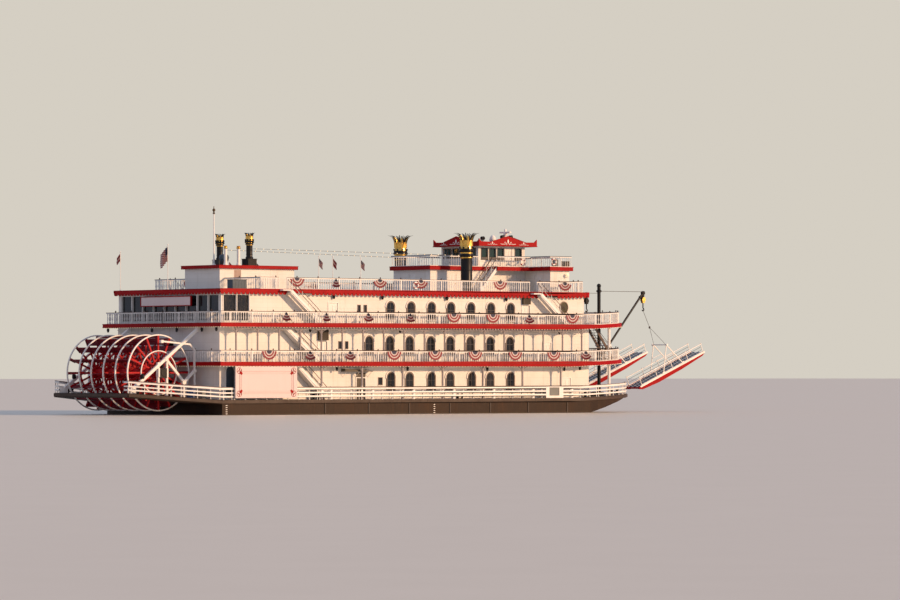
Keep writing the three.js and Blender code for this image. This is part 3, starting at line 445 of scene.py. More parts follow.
def seams_group():
    """Thin grooves at an even pitch across the given direction."""
    tree, given, made = new_group(
        "seams",
        (
            ("Across", "NodeSocketVector", (0.0, 0.0, 1.0)),
            ("Pitch", "NodeSocketFloat", 0.1),
            ("Width", "NodeSocketFloat", 0.06),
        ),
        (("Seam", "NodeSocketFloat"), ("Board", "NodeSocketFloat")),
    )
    dot = tree.nodes.new("ShaderNodeVectorMath")
    dot.operation = "DOT_PRODUCT"
    tree.links.new(object_point(tree), dot.inputs[0])
    tree.links.new(given.outputs["Across"], dot.inputs[1])
    along = calculate(tree, "DIVIDE", dot.outputs["Value"], given.outputs["Pitch"])
    from_edge = calculate(tree, "PINGPONG", along, 0.5)
    tree.links.new(spread(tree, from_edge, 0.0, given.outputs["Width"], 1.0, 0.0), made.inputs["Seam"])
    board_number = tree.nodes.new("ShaderNodeTexWhiteNoise")
    board_number.noise_dimensions = "1D"
    tree.links.new(calculate(tree, "FLOOR", calculate(tree, "ADD", along, 0.5)), board_number.inputs["W"])
    tree.links.new(board_number.outputs["Value"], made.inputs["Board"])
    return tree


def worn_edges_group():
    """A mask of the edges that hands, ropes and weather have rubbed."""
    tree, given, made = new_group(
        "worn edges",
        (("Reach", "NodeSocketFloat", 0.01), ("Wear", "NodeSocketFloat", 0.5)),
        (("Mask", "NodeSocketFloat"),),
    )
    rounded = tree.nodes.new("ShaderNodeBevel")
    rounded.samples = 3
    tree.links.new(given.outputs["Reach"], rounded.inputs["Radius"])
    geometry = tree.nodes.new("ShaderNodeNewGeometry")
    dot = tree.nodes.new("ShaderNodeVectorMath")
    dot.operation = "DOT_PRODUCT"
    tree.links.new(rounded.outputs["Normal"], dot.inputs[0])
    tree.links.new(geometry.outputs["Normal"], dot.inputs[1])
    edge = spread(tree, dot.outputs["Value"], 0.97, 0.8)
    rubbed = times(tree, given.outputs["Wear"], 0.4)
    broken = calculate(tree, "ADD", noise(tree, object_point(tree), 35.0, 4.0), rubbed)
    chipped = spread(tree, broken, 0.62, 0.72)
    tree.links.new(times(tree, edge, chipped), made.inputs["Mask"])
    return tree


WEATHERING = weathering_group()
SEAMS = seams_group()
WORN_EDGES = worn_edges_group()


# finishes


def new_finish(name, roughness=0.5, metallic=0.0):
    finish = bpy.data.materials.new(name)
    finish.use_nodes = True
    shader = finish.node_tree.nodes["Principled BSDF"]
    shader.inputs["Roughness"].default_value = roughness
    shader.inputs["Metallic"].default_value = metallic
    return finish, finish.node_tree, shader


def use_group(tree, group, **values):
    node = tree.nodes.new("ShaderNodeGroup")
    node.node_tree = group
    for label, value in values.items():
        node.inputs[label.replace("_", " ")].default_value = value
    return node


def weathered(tree, clean, grime, amount, size):
    return use_group(tree, WEATHERING, Clean=(*clean, 1), Grime=(*grime, 1), Amount=amount, Size=size)


def rough(tree, paint, base):
    """A base roughness with what the weathering adds."""
    return calculate(tree, "ADD", paint.outputs["Roughness"], base, clamp=True)


def tinted(tree, colour, mask, share, tint):
    """A colour with a share of a tint laid on it where the mask is high."""
    return blended(tree, times(tree, mask, share), colour, (*tint, 1))


def upward(tree, normal):
    """A mask of the faces that look up, from one of the geometry's normals."""
    geometry = tree.nodes.new("ShaderNodeNewGeometry")
    return spread(tree, split_axes(tree, geometry.outputs[normal])["Z"], 0.7, 0.8)


def raise_grain(tree, shader, height, strength, distance=0.004):
    bump = tree.nodes.new("ShaderNodeBump")
    bump.inputs["Strength"].default_value = strength
    bump.inputs["Distance"].default_value = distance
    tree.links.new(height, bump.inputs["Height"])
    tree.links.new(bump.outputs["Normal"], shader.inputs["Normal"])


def dress(tree, shader, colour, roughness, height, strength, distance=0.004):
    """Links a finish's colour, roughness and grain to its shader."""
    tree.links.new(colour, shader.inputs["Base Color"])
    tree.links.new(roughness, shader.inputs["Roughness"])
    raise_grain(tree, shader, height, strength, distance)


def paint_finish(
    name, clean, grime, amount, roughness, size=1.0, bare=None, wear=0.5, boards=None, shine=0.4
):
    """Brushed paint over wood or steel, weathered, with its bare ground at rubbed edges and seams where
    it has boards."""
    finish, tree, shader = new_finish(name, roughness)
    shader.inputs["Specular IOR Level"].default_value = shine
    paint = weathered(tree, clean, grime, amount, size)
    colour = paint.outputs["Color"]
    height = paint.outputs["Height"]
    if boards:
        across, pitch, width = boards
        seams = use_group(tree, SEAMS, Across=across, Pitch=pitch, Width=width)
        colour = tinted(tree, colour, seams.outputs["Board"], 0.10, grime)
        colour = tinted(tree, colour, seams.outputs["Seam"], 0.55, grime)
        height = calculate(tree, "SUBTRACT", height, times(tree, seams.outputs["Seam"], 3.0))
    if bare:
        edges = use_group(tree, WORN_EDGES, Reach=0.008, Wear=wear)
        colour = blended(tree, edges.outputs["Mask"], colour, (*bare, 1))
    dress(tree, shader, colour, rough(tree, paint, roughness - 0.1), height, 0.25)
    return finish


def deck_and_trim_finish(name, top, top_grime, under, under_grime):
    """Deck paint on what faces up, and house paint on edges and ceilings."""
    finish, tree, shader = new_finish(name, 0.6)
    deck = weathered(tree, top, top_grime, 0.5, 0.7)
    planks = use_group(tree, SEAMS, Across=(0.0, 1.0, 0.0), Pitch=0.08, Width=0.07)
    deck_colour = tinted(tree, deck.outputs["Color"], planks.outputs["Board"], 0.25, top_grime)
    deck_colour = tinted(tree, deck_colour, planks.outputs["Seam"], 0.6, top_grime)
    trim = weathered(tree, under, under_grime, 0.3, 1.2)
    colour = blended(tree, upward(tree, "Normal"), trim.outputs["Color"], deck_colour)
    height = calculate(tree, "SUBTRACT", deck.outputs["Height"], times(tree, planks.outputs["Seam"], 2.0))
    dress(tree, shader, colour, rough(tree, deck, 0.4), height, 0.3)
    return finish


def hull_finish():
    """Dark brown bottom paint, rust streaks below the deck edge, welded plates and a worn scum line at the
    water. Faces that look up are the grey main deck."""
    finish, tree, shader = new_finish("hull paint", 0.6)
    shader.inputs["Specular IOR Level"].default_value = 0.15
    paint = weathered(tree, (0.030, 0.017, 0.010), (0.075, 0.042, 0.024), 0.8, 0.8)
    point = object_point(tree)
    height = split_axes(tree, point)["Z"]
    rust = noise(tree, stretched(tree, point, (9.0, 9.0, 0.5)), 1.5, 4.0)
    rusty = times(tree, spread(tree, rust, 0.56, 0.74), spread(tree, height, 0.8, 1.45))
    colour = tinted(tree, paint.outputs["Color"], rusty, 0.6, (0.12, 0.042, 0.018))
    scum_edge = calculate(tree, "MULTIPLY_ADD", noise(tree, point, 2.5, 4.0), 0.12, height)
    colour = tinted(tree, colour, spread(tree, scum_edge, 0.93, 0.84), 0.55, (0.06, 0.045, 0.028))
    plates = use_group(tree, SEAMS, Across=(1.0, 0.0, 0.0), Pitch=1.28, Width=0.008)
    strakes = use_group(tree, SEAMS, Across=(0.0, 0.0, 1.0), Pitch=0.42, Width=0.02)
    seam = calculate(tree, "MAXIMUM", plates.outputs["Seam"], strakes.outputs["Seam"])
    colour = tinted(tree, colour, plates.outputs["Board"], 0.25, (0.034, 0.019, 0.013))
    colour = tinted(tree, colour, seam, 0.5, (0.012, 0.009, 0.008))
    deck = weathered(tree, (0.22, 0.205, 0.19), (0.10, 0.085, 0.07), 0.8, 1.2)
    colour = blended(tree, upward(tree, "True Normal"), colour, deck.outputs["Color"])
    dents = calculate(tree, "MULTIPLY_ADD", noise(tree, point, 1.1, 2.0), 6.0, paint.outputs["Height"])
    grain = calculate(tree, "SUBTRACT", dents, times(tree, seam, 2.0))
    dress(tree, shader, colour, rough(tree, paint, 0.35), grain, 0.35)
    return finish


def rail_and_column_finish():
    """White rails whose columns are grey from above the rail; the grey is partly the columns' paint and
    partly painted shade under the deck above.
    """
    finish, tree, shader = new_finish("rail paint and painted column shade", 0.5)
    rail = weathered(tree, (0.86, 0.84, 0.80), (0.45, 0.40, 0.34), 0.3, 1.5)
    # the columns' grey: partly paint and partly painted shade
    column = weathered(tree, (0.27, 0.24, 0.25), (0.13, 0.11, 0.11), 0.4, 2.0)
    above = spread(tree, split_axes(tree, object_point(tree))["Z"], 2.12, 2.13)
    colour = blended(tree, above, rail.outputs["Color"], column.outputs["Color"])
    dress(tree, shader, colour, rough(tree, rail, 0.3), rail.outputs["Height"], 0.25)
    return finish


def wood_finish(name, light, dark, roughness, along):
    """Oiled timber with long grain."""
    finish, tree, shader = new_finish(name, roughness)
    grain = noise(tree, stretched(tree, object_point(tree), along), 6.0, 6.0, 0.65)
    worn = weathered(tree, light, dark, 0.6, 1.3)
    colour = blended(tree, spread(tree, grain, 0.3, 0.7), worn.outputs["Color"], (*dark, 1))
    dress(tree, shader, colour, rough(tree, worn, roughness - 0.1), grain, 0.4)
    return finish


def gold_finish():
    """Gold leaf laid in squares over a dark ground, thin at its edges."""
    finish, tree, shader = new_finish("gold leaf", 0.3, 1.0)
    point = object_point(tree)
    leaves = tree.nodes.new("ShaderNodeTexVoronoi")
    leaves.feature = "F1"
    leaves.distance = "CHEBYCHEV"
    leaves.inputs["Scale"].default_value = 14.0
    tree.links.new(point, leaves.inputs["Vector"])
    tint = tree.nodes.new("ShaderNodeSeparateColor")
    tree.links.new(leaves.outputs["Color"], tint.inputs[0])
    leaf = blended(tree, tint.outputs[0], (0.95, 0.62, 0.16, 1), (0.78, 0.45, 0.10, 1))
    worn = spread(tree, noise(tree, point, 9.0, 5.0), 0.62, 0.75)
    colour = tinted(tree, leaf, worn, 0.7, (0.25, 0.09, 0.03))
    roughness = spread(tree, noise(tree, point, 25.0, 3.0), 0.3, 0.8, 0.22, 0.48)
    dress(tree, shader, colour, roughness, noise(tree, point, 40.0, 3.0), 0.25, 0.002)
    return finish


def gloss_finish(name, colour, haze, roughness):
    """Gloss enamel with soot and water marks, clearer where it is clean."""
    finish, tree, shader = new_finish(name, roughness)
    shader.inputs["Coat Weight"].default_value = 0.06
    shader.inputs["Coat Roughness"].default_value = 0.2
    shader.inputs["Specular IOR Level"].default_value = 0.22
    coat = weathered(tree, colour, haze, 0.7, 1.6)
    edges = use_group(tree, WORN_EDGES, Reach=0.006, Wear=0.4)
    seen = blended(tree, edges.outputs["Mask"], coat.outputs["Color"], (*haze, 1))
    dress(tree, shader, seen, rough(tree, coat, roughness - 0.08), coat.outputs["Height"], 0.15)
    return finish


def glass_finish(name, tint, drape):
    """Dark window glass over drawn curtains, slightly wavy."""
    smoothest = 0.08
    finish, tree, shader = new_finish(name, smoothest)
    point = object_point(tree)
    folds = noise(tree, stretched(tree, point, (16.0, 16.0, 0.6)), 2.0, 3.0)
    room = noise(tree, point, 0.9, 2.0)
    seen = times(tree, spread(tree, folds, 0.45, 0.7), spread(tree, room, 0.45, 0.65))
    colour = blended(tree, seen, (*tint, 1), (*drape, 1))
    roughness = spread(tree, noise(tree, point, 12.0, 3.0), 0.3, 0.8, smoothest, smoothest + 0.12)
    dress(tree, shader, colour, roughness, noise(tree, point, 1.6, 1.0), 0.12, 0.01)
    return finish


def bulb_finish():
    finish, tree, shader = new_finish("lamp glass", 0.25)
    cell = noise(tree, object_point(tree), 3.0, 1.0)
    warmth = blended(tree, spread(tree, cell, 0.3, 0.7), (1.0, 0.72, 0.36, 1), (1.0, 0.86, 0.62, 1))
    tree.links.new(warmth, shader.inputs["Emission Color"])
    tree.links.new(warmth, shader.inputs["Base Color"])
    shader.inputs["Emission Strength"].default_value = 0.6
    return finish


STRIPES = 13


def striped_cloth(name, bands, canton=None):
    """Woven cloth dyed in bands across the piece's own map, each band starting at a share of its height.
    A canton fills the upper corner beside the pole."""
    finish, tree, shader = new_finish(name, 0.85)
    shader.inputs["Sheen Weight"].default_value = 0.2
    across = split_axes(tree, tree.nodes.new("ShaderNodeUVMap").outputs["UV"])
    ramp = tree.nodes.new("ShaderNodeValToRGB")
    ramp.color_ramp.interpolation = "CONSTANT"
    stops = ramp.color_ramp.elements
    for index, (start, dye) in enumerate(bands):
        stop = stops[index] if index < 2 else stops.new(start)
        stop.position = start
        stop.color = (*dye, 1)
    tree.links.new(across["Y"], ramp.inputs["Fac"])
    colour = ramp.outputs["Color"]
    if canton:
        beside = calculate(tree, "LESS_THAN", across["X"], 0.4)
        corner = times(tree, beside, calculate(tree, "GREATER_THAN", across["Y"], 6 / STRIPES))
        colour = blended(tree, corner, colour, (*canton, 1))
    point = object_point(tree)
    faded = noise(tree, point, 4.0, 3.0)
    tree.links.new(tinted(tree, colour, faded, 0.25, (0.35, 0.30, 0.26)), shader.inputs["Base Color"])
    weave = tree.nodes.new("ShaderNodeTexWave")
    weave.inputs["Scale"].default_value = 180.0
    tree.links.new(point, weave.inputs["Vector"])
    raise_grain(tree, shader, calculate(tree, "ADD", weave.outputs["Fac"], faded), 0.25, 0.001)
    return finish


WHITE = paint_finish("white paint", (0.82, 0.79, 0.74), (0.42, 0.36, 0.29), 0.34, 0.42, 0.9,
                     boards=((0.0, 0.0, 1.0), 0.42, 0.012))
WHITE_TRIM = paint_finish("white trim paint", (0.86, 0.84, 0.80), (0.45, 0.40, 0.34), 0.3, 0.38, 1.5,
                          bare=(0.35, 0.28, 0.2), wear=0.3)
RED = paint_finish(
    "red paint", (0.36, 0.002, 0.004), (0.14, 0.006, 0.008), 0.5, 0.5, 1.4, bare=(0.20, 0.05, 0.04),
    shine=0.12
)
WHEEL_RED = paint_finish("wheel red paint", (0.46, 0.003, 0.008), (0.13, 0.006, 0.012), 0.6, 0.5, 1.4,
                         bare=(0.22, 0.07, 0.05), wear=0.6, shine=0.2)
# the buckets' red is darker than the wheel's timbers as painted shade, standing in for the shade among the
# buckets
BUCKET_SHADE_RED = paint_finish("bucket red with painted shade", (0.20, 0.002, 0.012), (0.045, 0.004, 0.012), 0.9, 0.5, 1.6,
                          bare=(0.12, 0.05, 0.04), wear=0.8, shine=0.2)
# grey posts and brackets: partly their own paint and partly painted shade, for the shaded sides of the posts
# under the deck above
POST_GREY_AND_SHADE = paint_finish(
    "post paint and painted shade", (0.27, 0.24, 0.25), (0.13, 0.11, 0.11), 0.4, 0.5, 2.0, bare=(0.30, 0.22, 0.16), wear=0.4
)
OLIVE = paint_finish("olive box paint", (0.085, 0.065, 0.045), (0.035, 0.03, 0.022), 0.6, 0.5, 2.5)
GREY = paint_finish("grey paint", (0.20, 0.21, 0.20), (0.08, 0.07, 0.06), 0.5, 0.45, 1.6)
ENGINE_GREY = paint_finish("engine grey", (0.09, 0.12, 0.14), (0.03, 0.03, 0.03), 0.7, 0.4, 2.0)
DECK = deck_and_trim_finish(
    "deck paint", (0.30, 0.29, 0.27), (0.12, 0.10, 0.08), (0.80, 0.78, 0.74), (0.42, 0.37, 0.30)
)
ROOF_FINISH = deck_and_trim_finish(
    "roof paint", (0.30, 0.06, 0.05), (0.12, 0.05, 0.04), (0.34, 0.005, 0.007), (0.12, 0.012, 0.012)
)
HULL = hull_finish()
OAK = wood_finish("oiled oak", (0.20, 0.10, 0.05), (0.08, 0.035, 0.02), 0.4, (0.6, 8.0, 8.0))
STAINED = glass_finish("coloured glass", (0.10, 0.085, 0.03), (0.16, 0.07, 0.03))
CRIMSON, CLOTH_WHITE, NAVY = (0.24, 0.006, 0.018), (0.62, 0.54, 0.51), (0.015, 0.018, 0.06)
BUNTING = striped_cloth(
    "bunting cloth",
    ((0.0, NAVY), (0.32, CLOTH_WHITE), (0.46, CRIMSON), (0.64, CLOTH_WHITE), (0.77, CRIMSON))
)
ENSIGN_BANDS = [(i / STRIPES, (CRIMSON, CLOTH_WHITE)[i % 2]) for i in range(STRIPES)]
ENSIGN = striped_cloth("ensign cloth", ENSIGN_BANDS, canton=NAVY)
PENNANT = striped_cloth("pennant cloth", ((0.0, CRIMSON), (0.42, CLOTH_WHITE), (0.58, CRIMSON)))
RAILS_AND_SHADED_COLUMNS = rail_and_column_finish()
GUARD_WOOD = wood_finish("guard timber", (0.075, 0.04, 0.022), (0.03, 0.016, 0.01), 0.6, (0.5, 0.5, 8.0))
RAIL_WOOD = wood_finish("rail timber", (0.10, 0.045, 0.025), (0.035, 0.018, 0.012), 0.35, (0.6, 0.6, 9.0))
BLACK = gloss_finish("black enamel", (0.005, 0.005, 0.006), (0.028, 0.024, 0.021), 0.34)
GOLD = gold_finish()
GLASS = glass_finish("window glass", (0.006, 0.008, 0.010), (0.055, 0.042, 0.034))
PILOT_GLASS = glass_finish("pilot glass", (0.02, 0.045, 0.04), (0.05, 0.07, 0.06))
LAMP = bulb_finish()
SIGN_WHITE = paint_finish("sign enamel", (0.72, 0.59, 0.58), (0.5, 0.42, 0.38), 0.2, 0.3, 0.8)
CASING = paint_finish("window casing paint", (0.22, 0.17, 0.14), (0.09, 0.07, 0.06), 0.5, 0.5, 2.5)
SHUTTER_TAN = paint_finish("tan paint", (0.42, 0.30, 0.25), (0.2, 0.14, 0.11), 0.5, 0.5, 2.0)
SASH = paint_finish("window sash paint", (0.075, 0.065, 0.065), (0.03, 0.03, 0.03), 0.5, 0.45, 3.0)
BLUE = paint_finish("blue drum paint", (0.02, 0.07, 0.22), (0.05, 0.05, 0.06), 0.5, 0.35, 2.0)
BLUE_GREY = paint_finish("blue grey paint", (0.06, 0.09, 0.12), (0.04, 0.04, 0.04), 0.5, 0.45, 2.0)
BRONZE = paint_finish("dark bronze", (0.10, 0.06, 0.02), (0.04, 0.05, 0.04), 0.6, 0.35, 4.0)
RUB_BAR = paint_finish(
    "rub bar paint", (0.11, 0.085, 0.065), (0.05, 0.03, 0.02), 0.8, 0.6, 2.0, bare=(0.16, 0.11, 0.07),
    wear=0.8
)
RUBBER = paint_finish("black rubber", (0.02, 0.02, 0.02), (0.08, 0.07, 0.06), 0.6, 0.75, 3.0)
WIRE = paint_finish("wire rope", (0.06, 0.06, 0.065), (0.16, 0.09, 0.05), 0.8, 0.5, 6.0)

# the nodes of each finish; the others have white trim paint
FINISHED_NODES = (
    (HULL, ("hull", "fantail", "rudder_starboard", "rudder_port")),
    (ENGINE_GREY, ("engine_block",)),
    (DECK, ("deck_2", "deck_2_fore", "deck_3", "deck_3_fore", "hurricane_deck", "bridge_deck")),
    (ROOF_FINISH, ("aft_house_roof",)),
    (WHITE, ("main_deck_walls", "deck_2_walls", "deck_3_walls", "lounge_walls")),
    (WHITE, ("aft_house_walls", "texas_walls", "pilothouse_walls")),
    (RED, ("pilothouse_roof", "stage_starboard", "stage_port")),
    (BLACK, ("mast_starboard", "mast_port", "boom_starboard", "boom_port")),
    (GLASS, ("lounge_glass",)),
    (PILOT_GLASS, ("pilothouse_glass",)),
    (SIGN_WHITE, ("side_sign_starboard", "side_sign_port")),
    (POST_GREY_AND_SHADE, ("deck_2_posts_starboard", "deck_2_posts_port")),
    (RAILS_AND_SHADED_COLUMNS, ("main_deck_rail_starboard", "main_deck_rail_port")),
    (OLIVE, ("main_deck_door_starboard", "main_deck_door_port")),
)
NODE_FINISHES = {name: finish for finish, names in FINISHED_NODES for name in names}


def paint_nodes():
    for name, node in nodes.items():
        node.data.materials.clear()
        node.data.materials.append(NODE_FINISHES.get(name, WHITE_TRIM))


# railings

RAIL_HEIGHT = 1.12
RAIL_INSET = 0.16
BALUSTER_PITCH = 0.28
NEWEL_PITCH = 2.58


def baluster(height):
    radius = 0.056
    profile = [(0.8, 0.0), (0.8, 0.1), (0.45, 0.2), (1.0, 0.45), (0.55, 0.75), (0.8, 0.9), (0.8, 1.0)]
    return turned(0, 0, [(radius * share, height * at) for share, at in profile], 6)


def newel(height):
    shaft = block(-0.055, 0.055, -0.055, 0.055, 0.0, height)
    collar = block(-0.075, 0.075, -0.075, 0.075, height * 0.82, height * 0.87)
    foot = block(-0.075, 0.075, -0.075, 0.075, 0.0, 0.12)
    return eased(joined([shaft, collar, foot]), 0.012)


def knob(height):
    profile = [(0.05, 0.0), (0.035, 0.03), (0.07, 0.09), (0.05, 0.15), (0.015, 0.18)]
    return turned(0, 0, raised(profile, height), 10)


def at_stations(spots, deck):
    return [shift(x, y, deck + lift(x)) @ Matrix.Rotation(turn, 4, "Z") for x, y, turn in spots]


def both_sides(half):
    """Both sides of a half outline, closed on the centreline at each end."""
    path = [(half[0][0], 0.0), *half, (half[-1][0], 0.0)]
    return [path, [(x, -y) for x, y in path]]


def stations_round(half, spacing, first):
    """Stations along both sides of a half outline."""
    return [spot for path in both_sides(half) for spot in stations(path, spacing, first)]


def turned_rail(name, plan, inset, deck, low, keep=lambda x, y: True):
    """Balusters and newels with knobs on a rail whose bars and few posts are in the solids."""
    half = half_outline(plan, inset + 0.035)
    spots = [spot for spot in stations_round(half, BALUSTER_PITCH, BALUSTER_PITCH / 2) if keep(*spot[:2])]
    bars = copies(baluster(1.04 - low), at_stations(spots, deck + low))
    settle(f"{name}_balusters", all_painted(bars, WHITE_TRIM), "boat")
    newels = [spot for spot in stations_round(half, NEWEL_PITCH, 0.0) if keep(*spot[:2])]
    posts = all_painted(copies(newel(RAIL_HEIGHT), at_stations(newels, deck + 0.005)), WHITE_TRIM)
    knobs = all_painted(copies(knob(RAIL_HEIGHT + 0.04), at_stations(newels, deck)), RAIL_WOOD)
    settle(f"{name}_newels", posts + knobs, "boat")


def timber_cap(name, deck):
    low = deck + RAIL_HEIGHT
    cap = plan_ring(DECK_PLAN, RAIL_INSET - 0.02, RAIL_INSET + 0.09, low, low + 0.04)
    settle(name, [painted(cap, RAIL_WOOD)], "boat")


def stretch_of(path, x0, x1):
    """The part of a half outline between two x."""
    found = []
    for (xa, ya), (xb, yb) in zip(path, path[1:]):
        if xb <= x0 or xa >= x1:
            continue
        for x in (max(xa, x0), min(xb, x1)):
            point = (x, ya + (yb - ya) * (x - xa) / (xb - xa))
            if not found or found[-1] != point:
                found.append(point)
    return found


def edge_strips(path_at, outer, inner, low, high, x0, x1):
    """A strip on each side that follows an edge between two insets and two x, laid to the sheer line."""
    parts = []
    for s in (1, -1):
        far = [(x, s * y) for x, y in stretch_of(path_at(outer), x0, x1)]
        near = [(x, s * y) for x, y in stretch_of(path_at(inner), x0, x1)]
        strip = board([far + list(reversed(near))], high - low)
        parts.append(lifted(placed(strip, shift(0, 0, low))))
    return parts


def main_deck_edge(inset):
    """Half outline of the main deck with the fantail."""
    return [(-8.3 + inset, 6.0 - inset), *half_outline(HULL_PLAN, inset)]


def main_rail():
    """Three planks, flat stanchions and a dark cap on the rail round the main deck."""
    aft, fore = -8.28, 55.26
    parts = []
    for low, high in ((0.22, 0.36), (0.58, 0.71), (0.95, 1.09)):
        parts += edge_strips(main_deck_edge, 0.02, 0.13, MAIN_DECK + low, MAIN_DECK + high, aft, fore)
        deck = MAIN_DECK + lift(-8.25)
        parts += [block(aft, -8.17, s * 5.3, s * 5.97, deck + low, deck + high) for s in (1, -1)]
    parts = [eased(joined(parts))]
    spots = stations(stretch_of(main_deck_edge(0.11), -8.19, fore), 1.29, 0.3)
    spots += [(x, -y, -turn) for x, y, turn in spots]
    stanchion = joined(
        [block(-0.03, 0.03, -0.025, 0.025, 0.0, 1.1), block(-0.06, 0.06, -0.06, 0.06, 0.0, 0.03)]
    )
    parts += copies(stanchion, at_stations(spots, MAIN_DECK + 0.002))
    broad = [(13.55 + 5.17 * i, s * 9.21, 0.0) for i in range(7) for s in (1, -1)]
    post = joined([block(-0.11, 0.11, -0.045, 0.045, 0.0, 1.2), block(-0.14, 0.14, -0.06, 0.06, 1.2, 1.25)])
    parts += copies(eased(post, 0.012), at_stations(broad, MAIN_DECK + 0.003))
    settle("main_rail_planks", all_painted(parts, WHITE_TRIM), "boat")
    cap = edge_strips(main_deck_edge, 0.03, 0.14, MAIN_DECK + 1.15, MAIN_DECK + 1.19, aft, fore)
    settle("main_rail_cap", all_painted(cap, RAIL_WOOD), "boat")


def hurricane_cap():
    def path_at(inset):
        return half_outline(ROOF_RAIL_PLAN, inset)

    parts = []
    for x0, x1 in ((5.5, 7.7), (8.7, 39.5), (40.5, 47.07)):
        parts += edge_strips(path_at, -0.02, 0.09, ROOF + 1.15, ROOF + 1.19, x0, x1)
    for s in (1, -1):
        parts.append(block(5.43, 5.54, s * 2.84, s * 8.5, ROOF + 1.15, ROOF + 1.19))
    settle("hurricane_rail_cap", all_painted(parts, RAIL_WOOD), "boat")


# paddle wheel

WHEEL = Vector((-3.98, 0.0, 4.02))
RIM_YS = (-4.9, -2.94, -0.98, 0.98, 2.94, 4.9)


def flat_ring(outer, inner, thick, steps=96):
    circle = [(math.cos(2 * math.pi * i / steps), math.sin(2 * math.pi * i / steps)) for i in range(steps)]
    ring = board(
        [[(outer * x, outer * y) for x, y in circle], [(inner * x, inner * y) for x, y in circle]], thick
    )
    return stood_up(ring, thick)


def paddle_wheel():
    for index, y in enumerate(RIM_YS):
        ring = flat_ring(3.645, 3.525, 0.12)
        bolts = copies(rod((3.585, -0.075, 0), (3.585, 0.075, 0), 0.035, 6),
                       [Matrix.Rotation(-2 * math.pi * (i + 0.5) / 32, 4, "Y") for i in range(32)])
        rim = placed(eased(joined([ring, *bolts]), 0.008), shift(WHEEL.x, y, WHEEL.z))
        settle(f"rim_{index + 1}", [painted(rim, WHITE_TRIM)], "wheel")
    parts = [rod((0, -5.78, 0), (0, 5.78, 0), 0.22, 24), rod((0, -4.99, 0), (0, 4.99, 0), 0.4, 24)]
    for y in RIM_YS:
        arm = beam((0.35, 0, 0), (3.53, 0, 0), 0.1, 0.16)
        spokes = copies(arm, [Matrix.Rotation(-math.pi * i / 8, 4, "Y") for i in range(16)])
        chord = flat_ring(2.05, 1.93, 0.07, 32)
        flange = rod((0, -0.09, 0), (0, 0.09, 0), 0.62, 32)
        bolts = copies(rod((0.52, -0.13, 0), (0.52, 0.13, 0), 0.035, 6),
                       [Matrix.Rotation(-math.pi * (i + 0.5) / 8, 4, "Y") for i in range(16)])
        frame_part = joined([*spokes, chord, flange, *bolts])
        parts.append(placed(frame_part, shift(0, y, 0)))
    buckets = []
    for y0, y1 in zip(RIM_YS, RIM_YS[1:]):
        end = y1 + 0.04 if y1 == RIM_YS[-1] else y1 - 0.05
        for r0, r1 in ((2.85, 3.05), (3.07, 3.27), (3.29, 3.5)):
            buckets.append(block(r0, r1, y0 - 0.04, end, 0.065, 0.135))
    for y in RIM_YS:
        buckets.append(block(2.82, 3.52, y - 0.08, y + 0.08, 0.135, 0.165))
        for r in (2.95, 3.17, 3.39):
            buckets.append(rod((r, y, 0.15), (r, y, 0.2), 0.03, 6))
    bucket = eased(joined(buckets), 0.006)
    timbers = [painted(joined(parts), WHEEL_RED)]
    planks = copies(bucket, [Matrix.Rotation(-math.pi * i / 8, 4, "Y") for i in range(16)])
    # the buckets take the red that is darkened as painted shade
    timbers += all_painted(planks, BUCKET_SHADE_RED)
    wheel = placed(joined(timbers), Matrix.Translation(WHEEL))
    settle("wheel_frame_timbers", [wheel], "wheel", ["paddle_wheel"])
    rings = [placed(flat_ring(2.12, 2.02, 0.1, 64), shift(WHEEL.x, y, WHEEL.z)) for y in (-4.99, 4.99)]
    settle("wheel_inner_rings", [painted(eased(joined(rings), 0.01), WHITE_TRIM)], "wheel")


# funnels


# rows of tips on a crown: radius, share of the height, width, finish, and offset in pitches
CROWN_ROWS = (
    (1.0, 1.0, 0.6, BLACK, 0.0), (1.04, 0.62, 0.66, GOLD, 0.0),
    (0.92, 0.8, 0.5, BLACK, 0.5), (0.97, 0.5, 0.6, GOLD, 0.5),
)
CROWN_TIPS = 8


def crown_tip(radius, rise, width, flare):
    """One curved tip of a crown: broad at its root, it leans out and curls over at its point."""
    steps = 9
    outer, inner = [], []
    for i in range(steps + 1):
        share = i / steps
        lean = radius + flare * share ** 1.9
        height = rise * math.sin(math.pi / 2 * share ** 0.85)
        thick = 0.08 * (1 - 0.8 * share)
        outer.append((lean + thick / 2, height - thick * share))
        inner.append((lean - thick / 2, height))
    tip = board([outer + list(reversed(inner))], width)
    stood_up(tip, width)
    for vertex in tip.data.vertices:
        share = max(0.0, min(1.0, vertex.co.z / rise))
        vertex.co.y *= 1.0 - 0.82 * share ** 0.8
    return tip


def collar_ring(x, y, radius, low, high, proud):
    half = (high - low) / 2
    profile = [
        (radius, low), (radius + proud, low + half * 0.4), (radius + proud, high - half * 0.4),
        (radius, high)
    ]
    return turned(x, y, profile, 40)


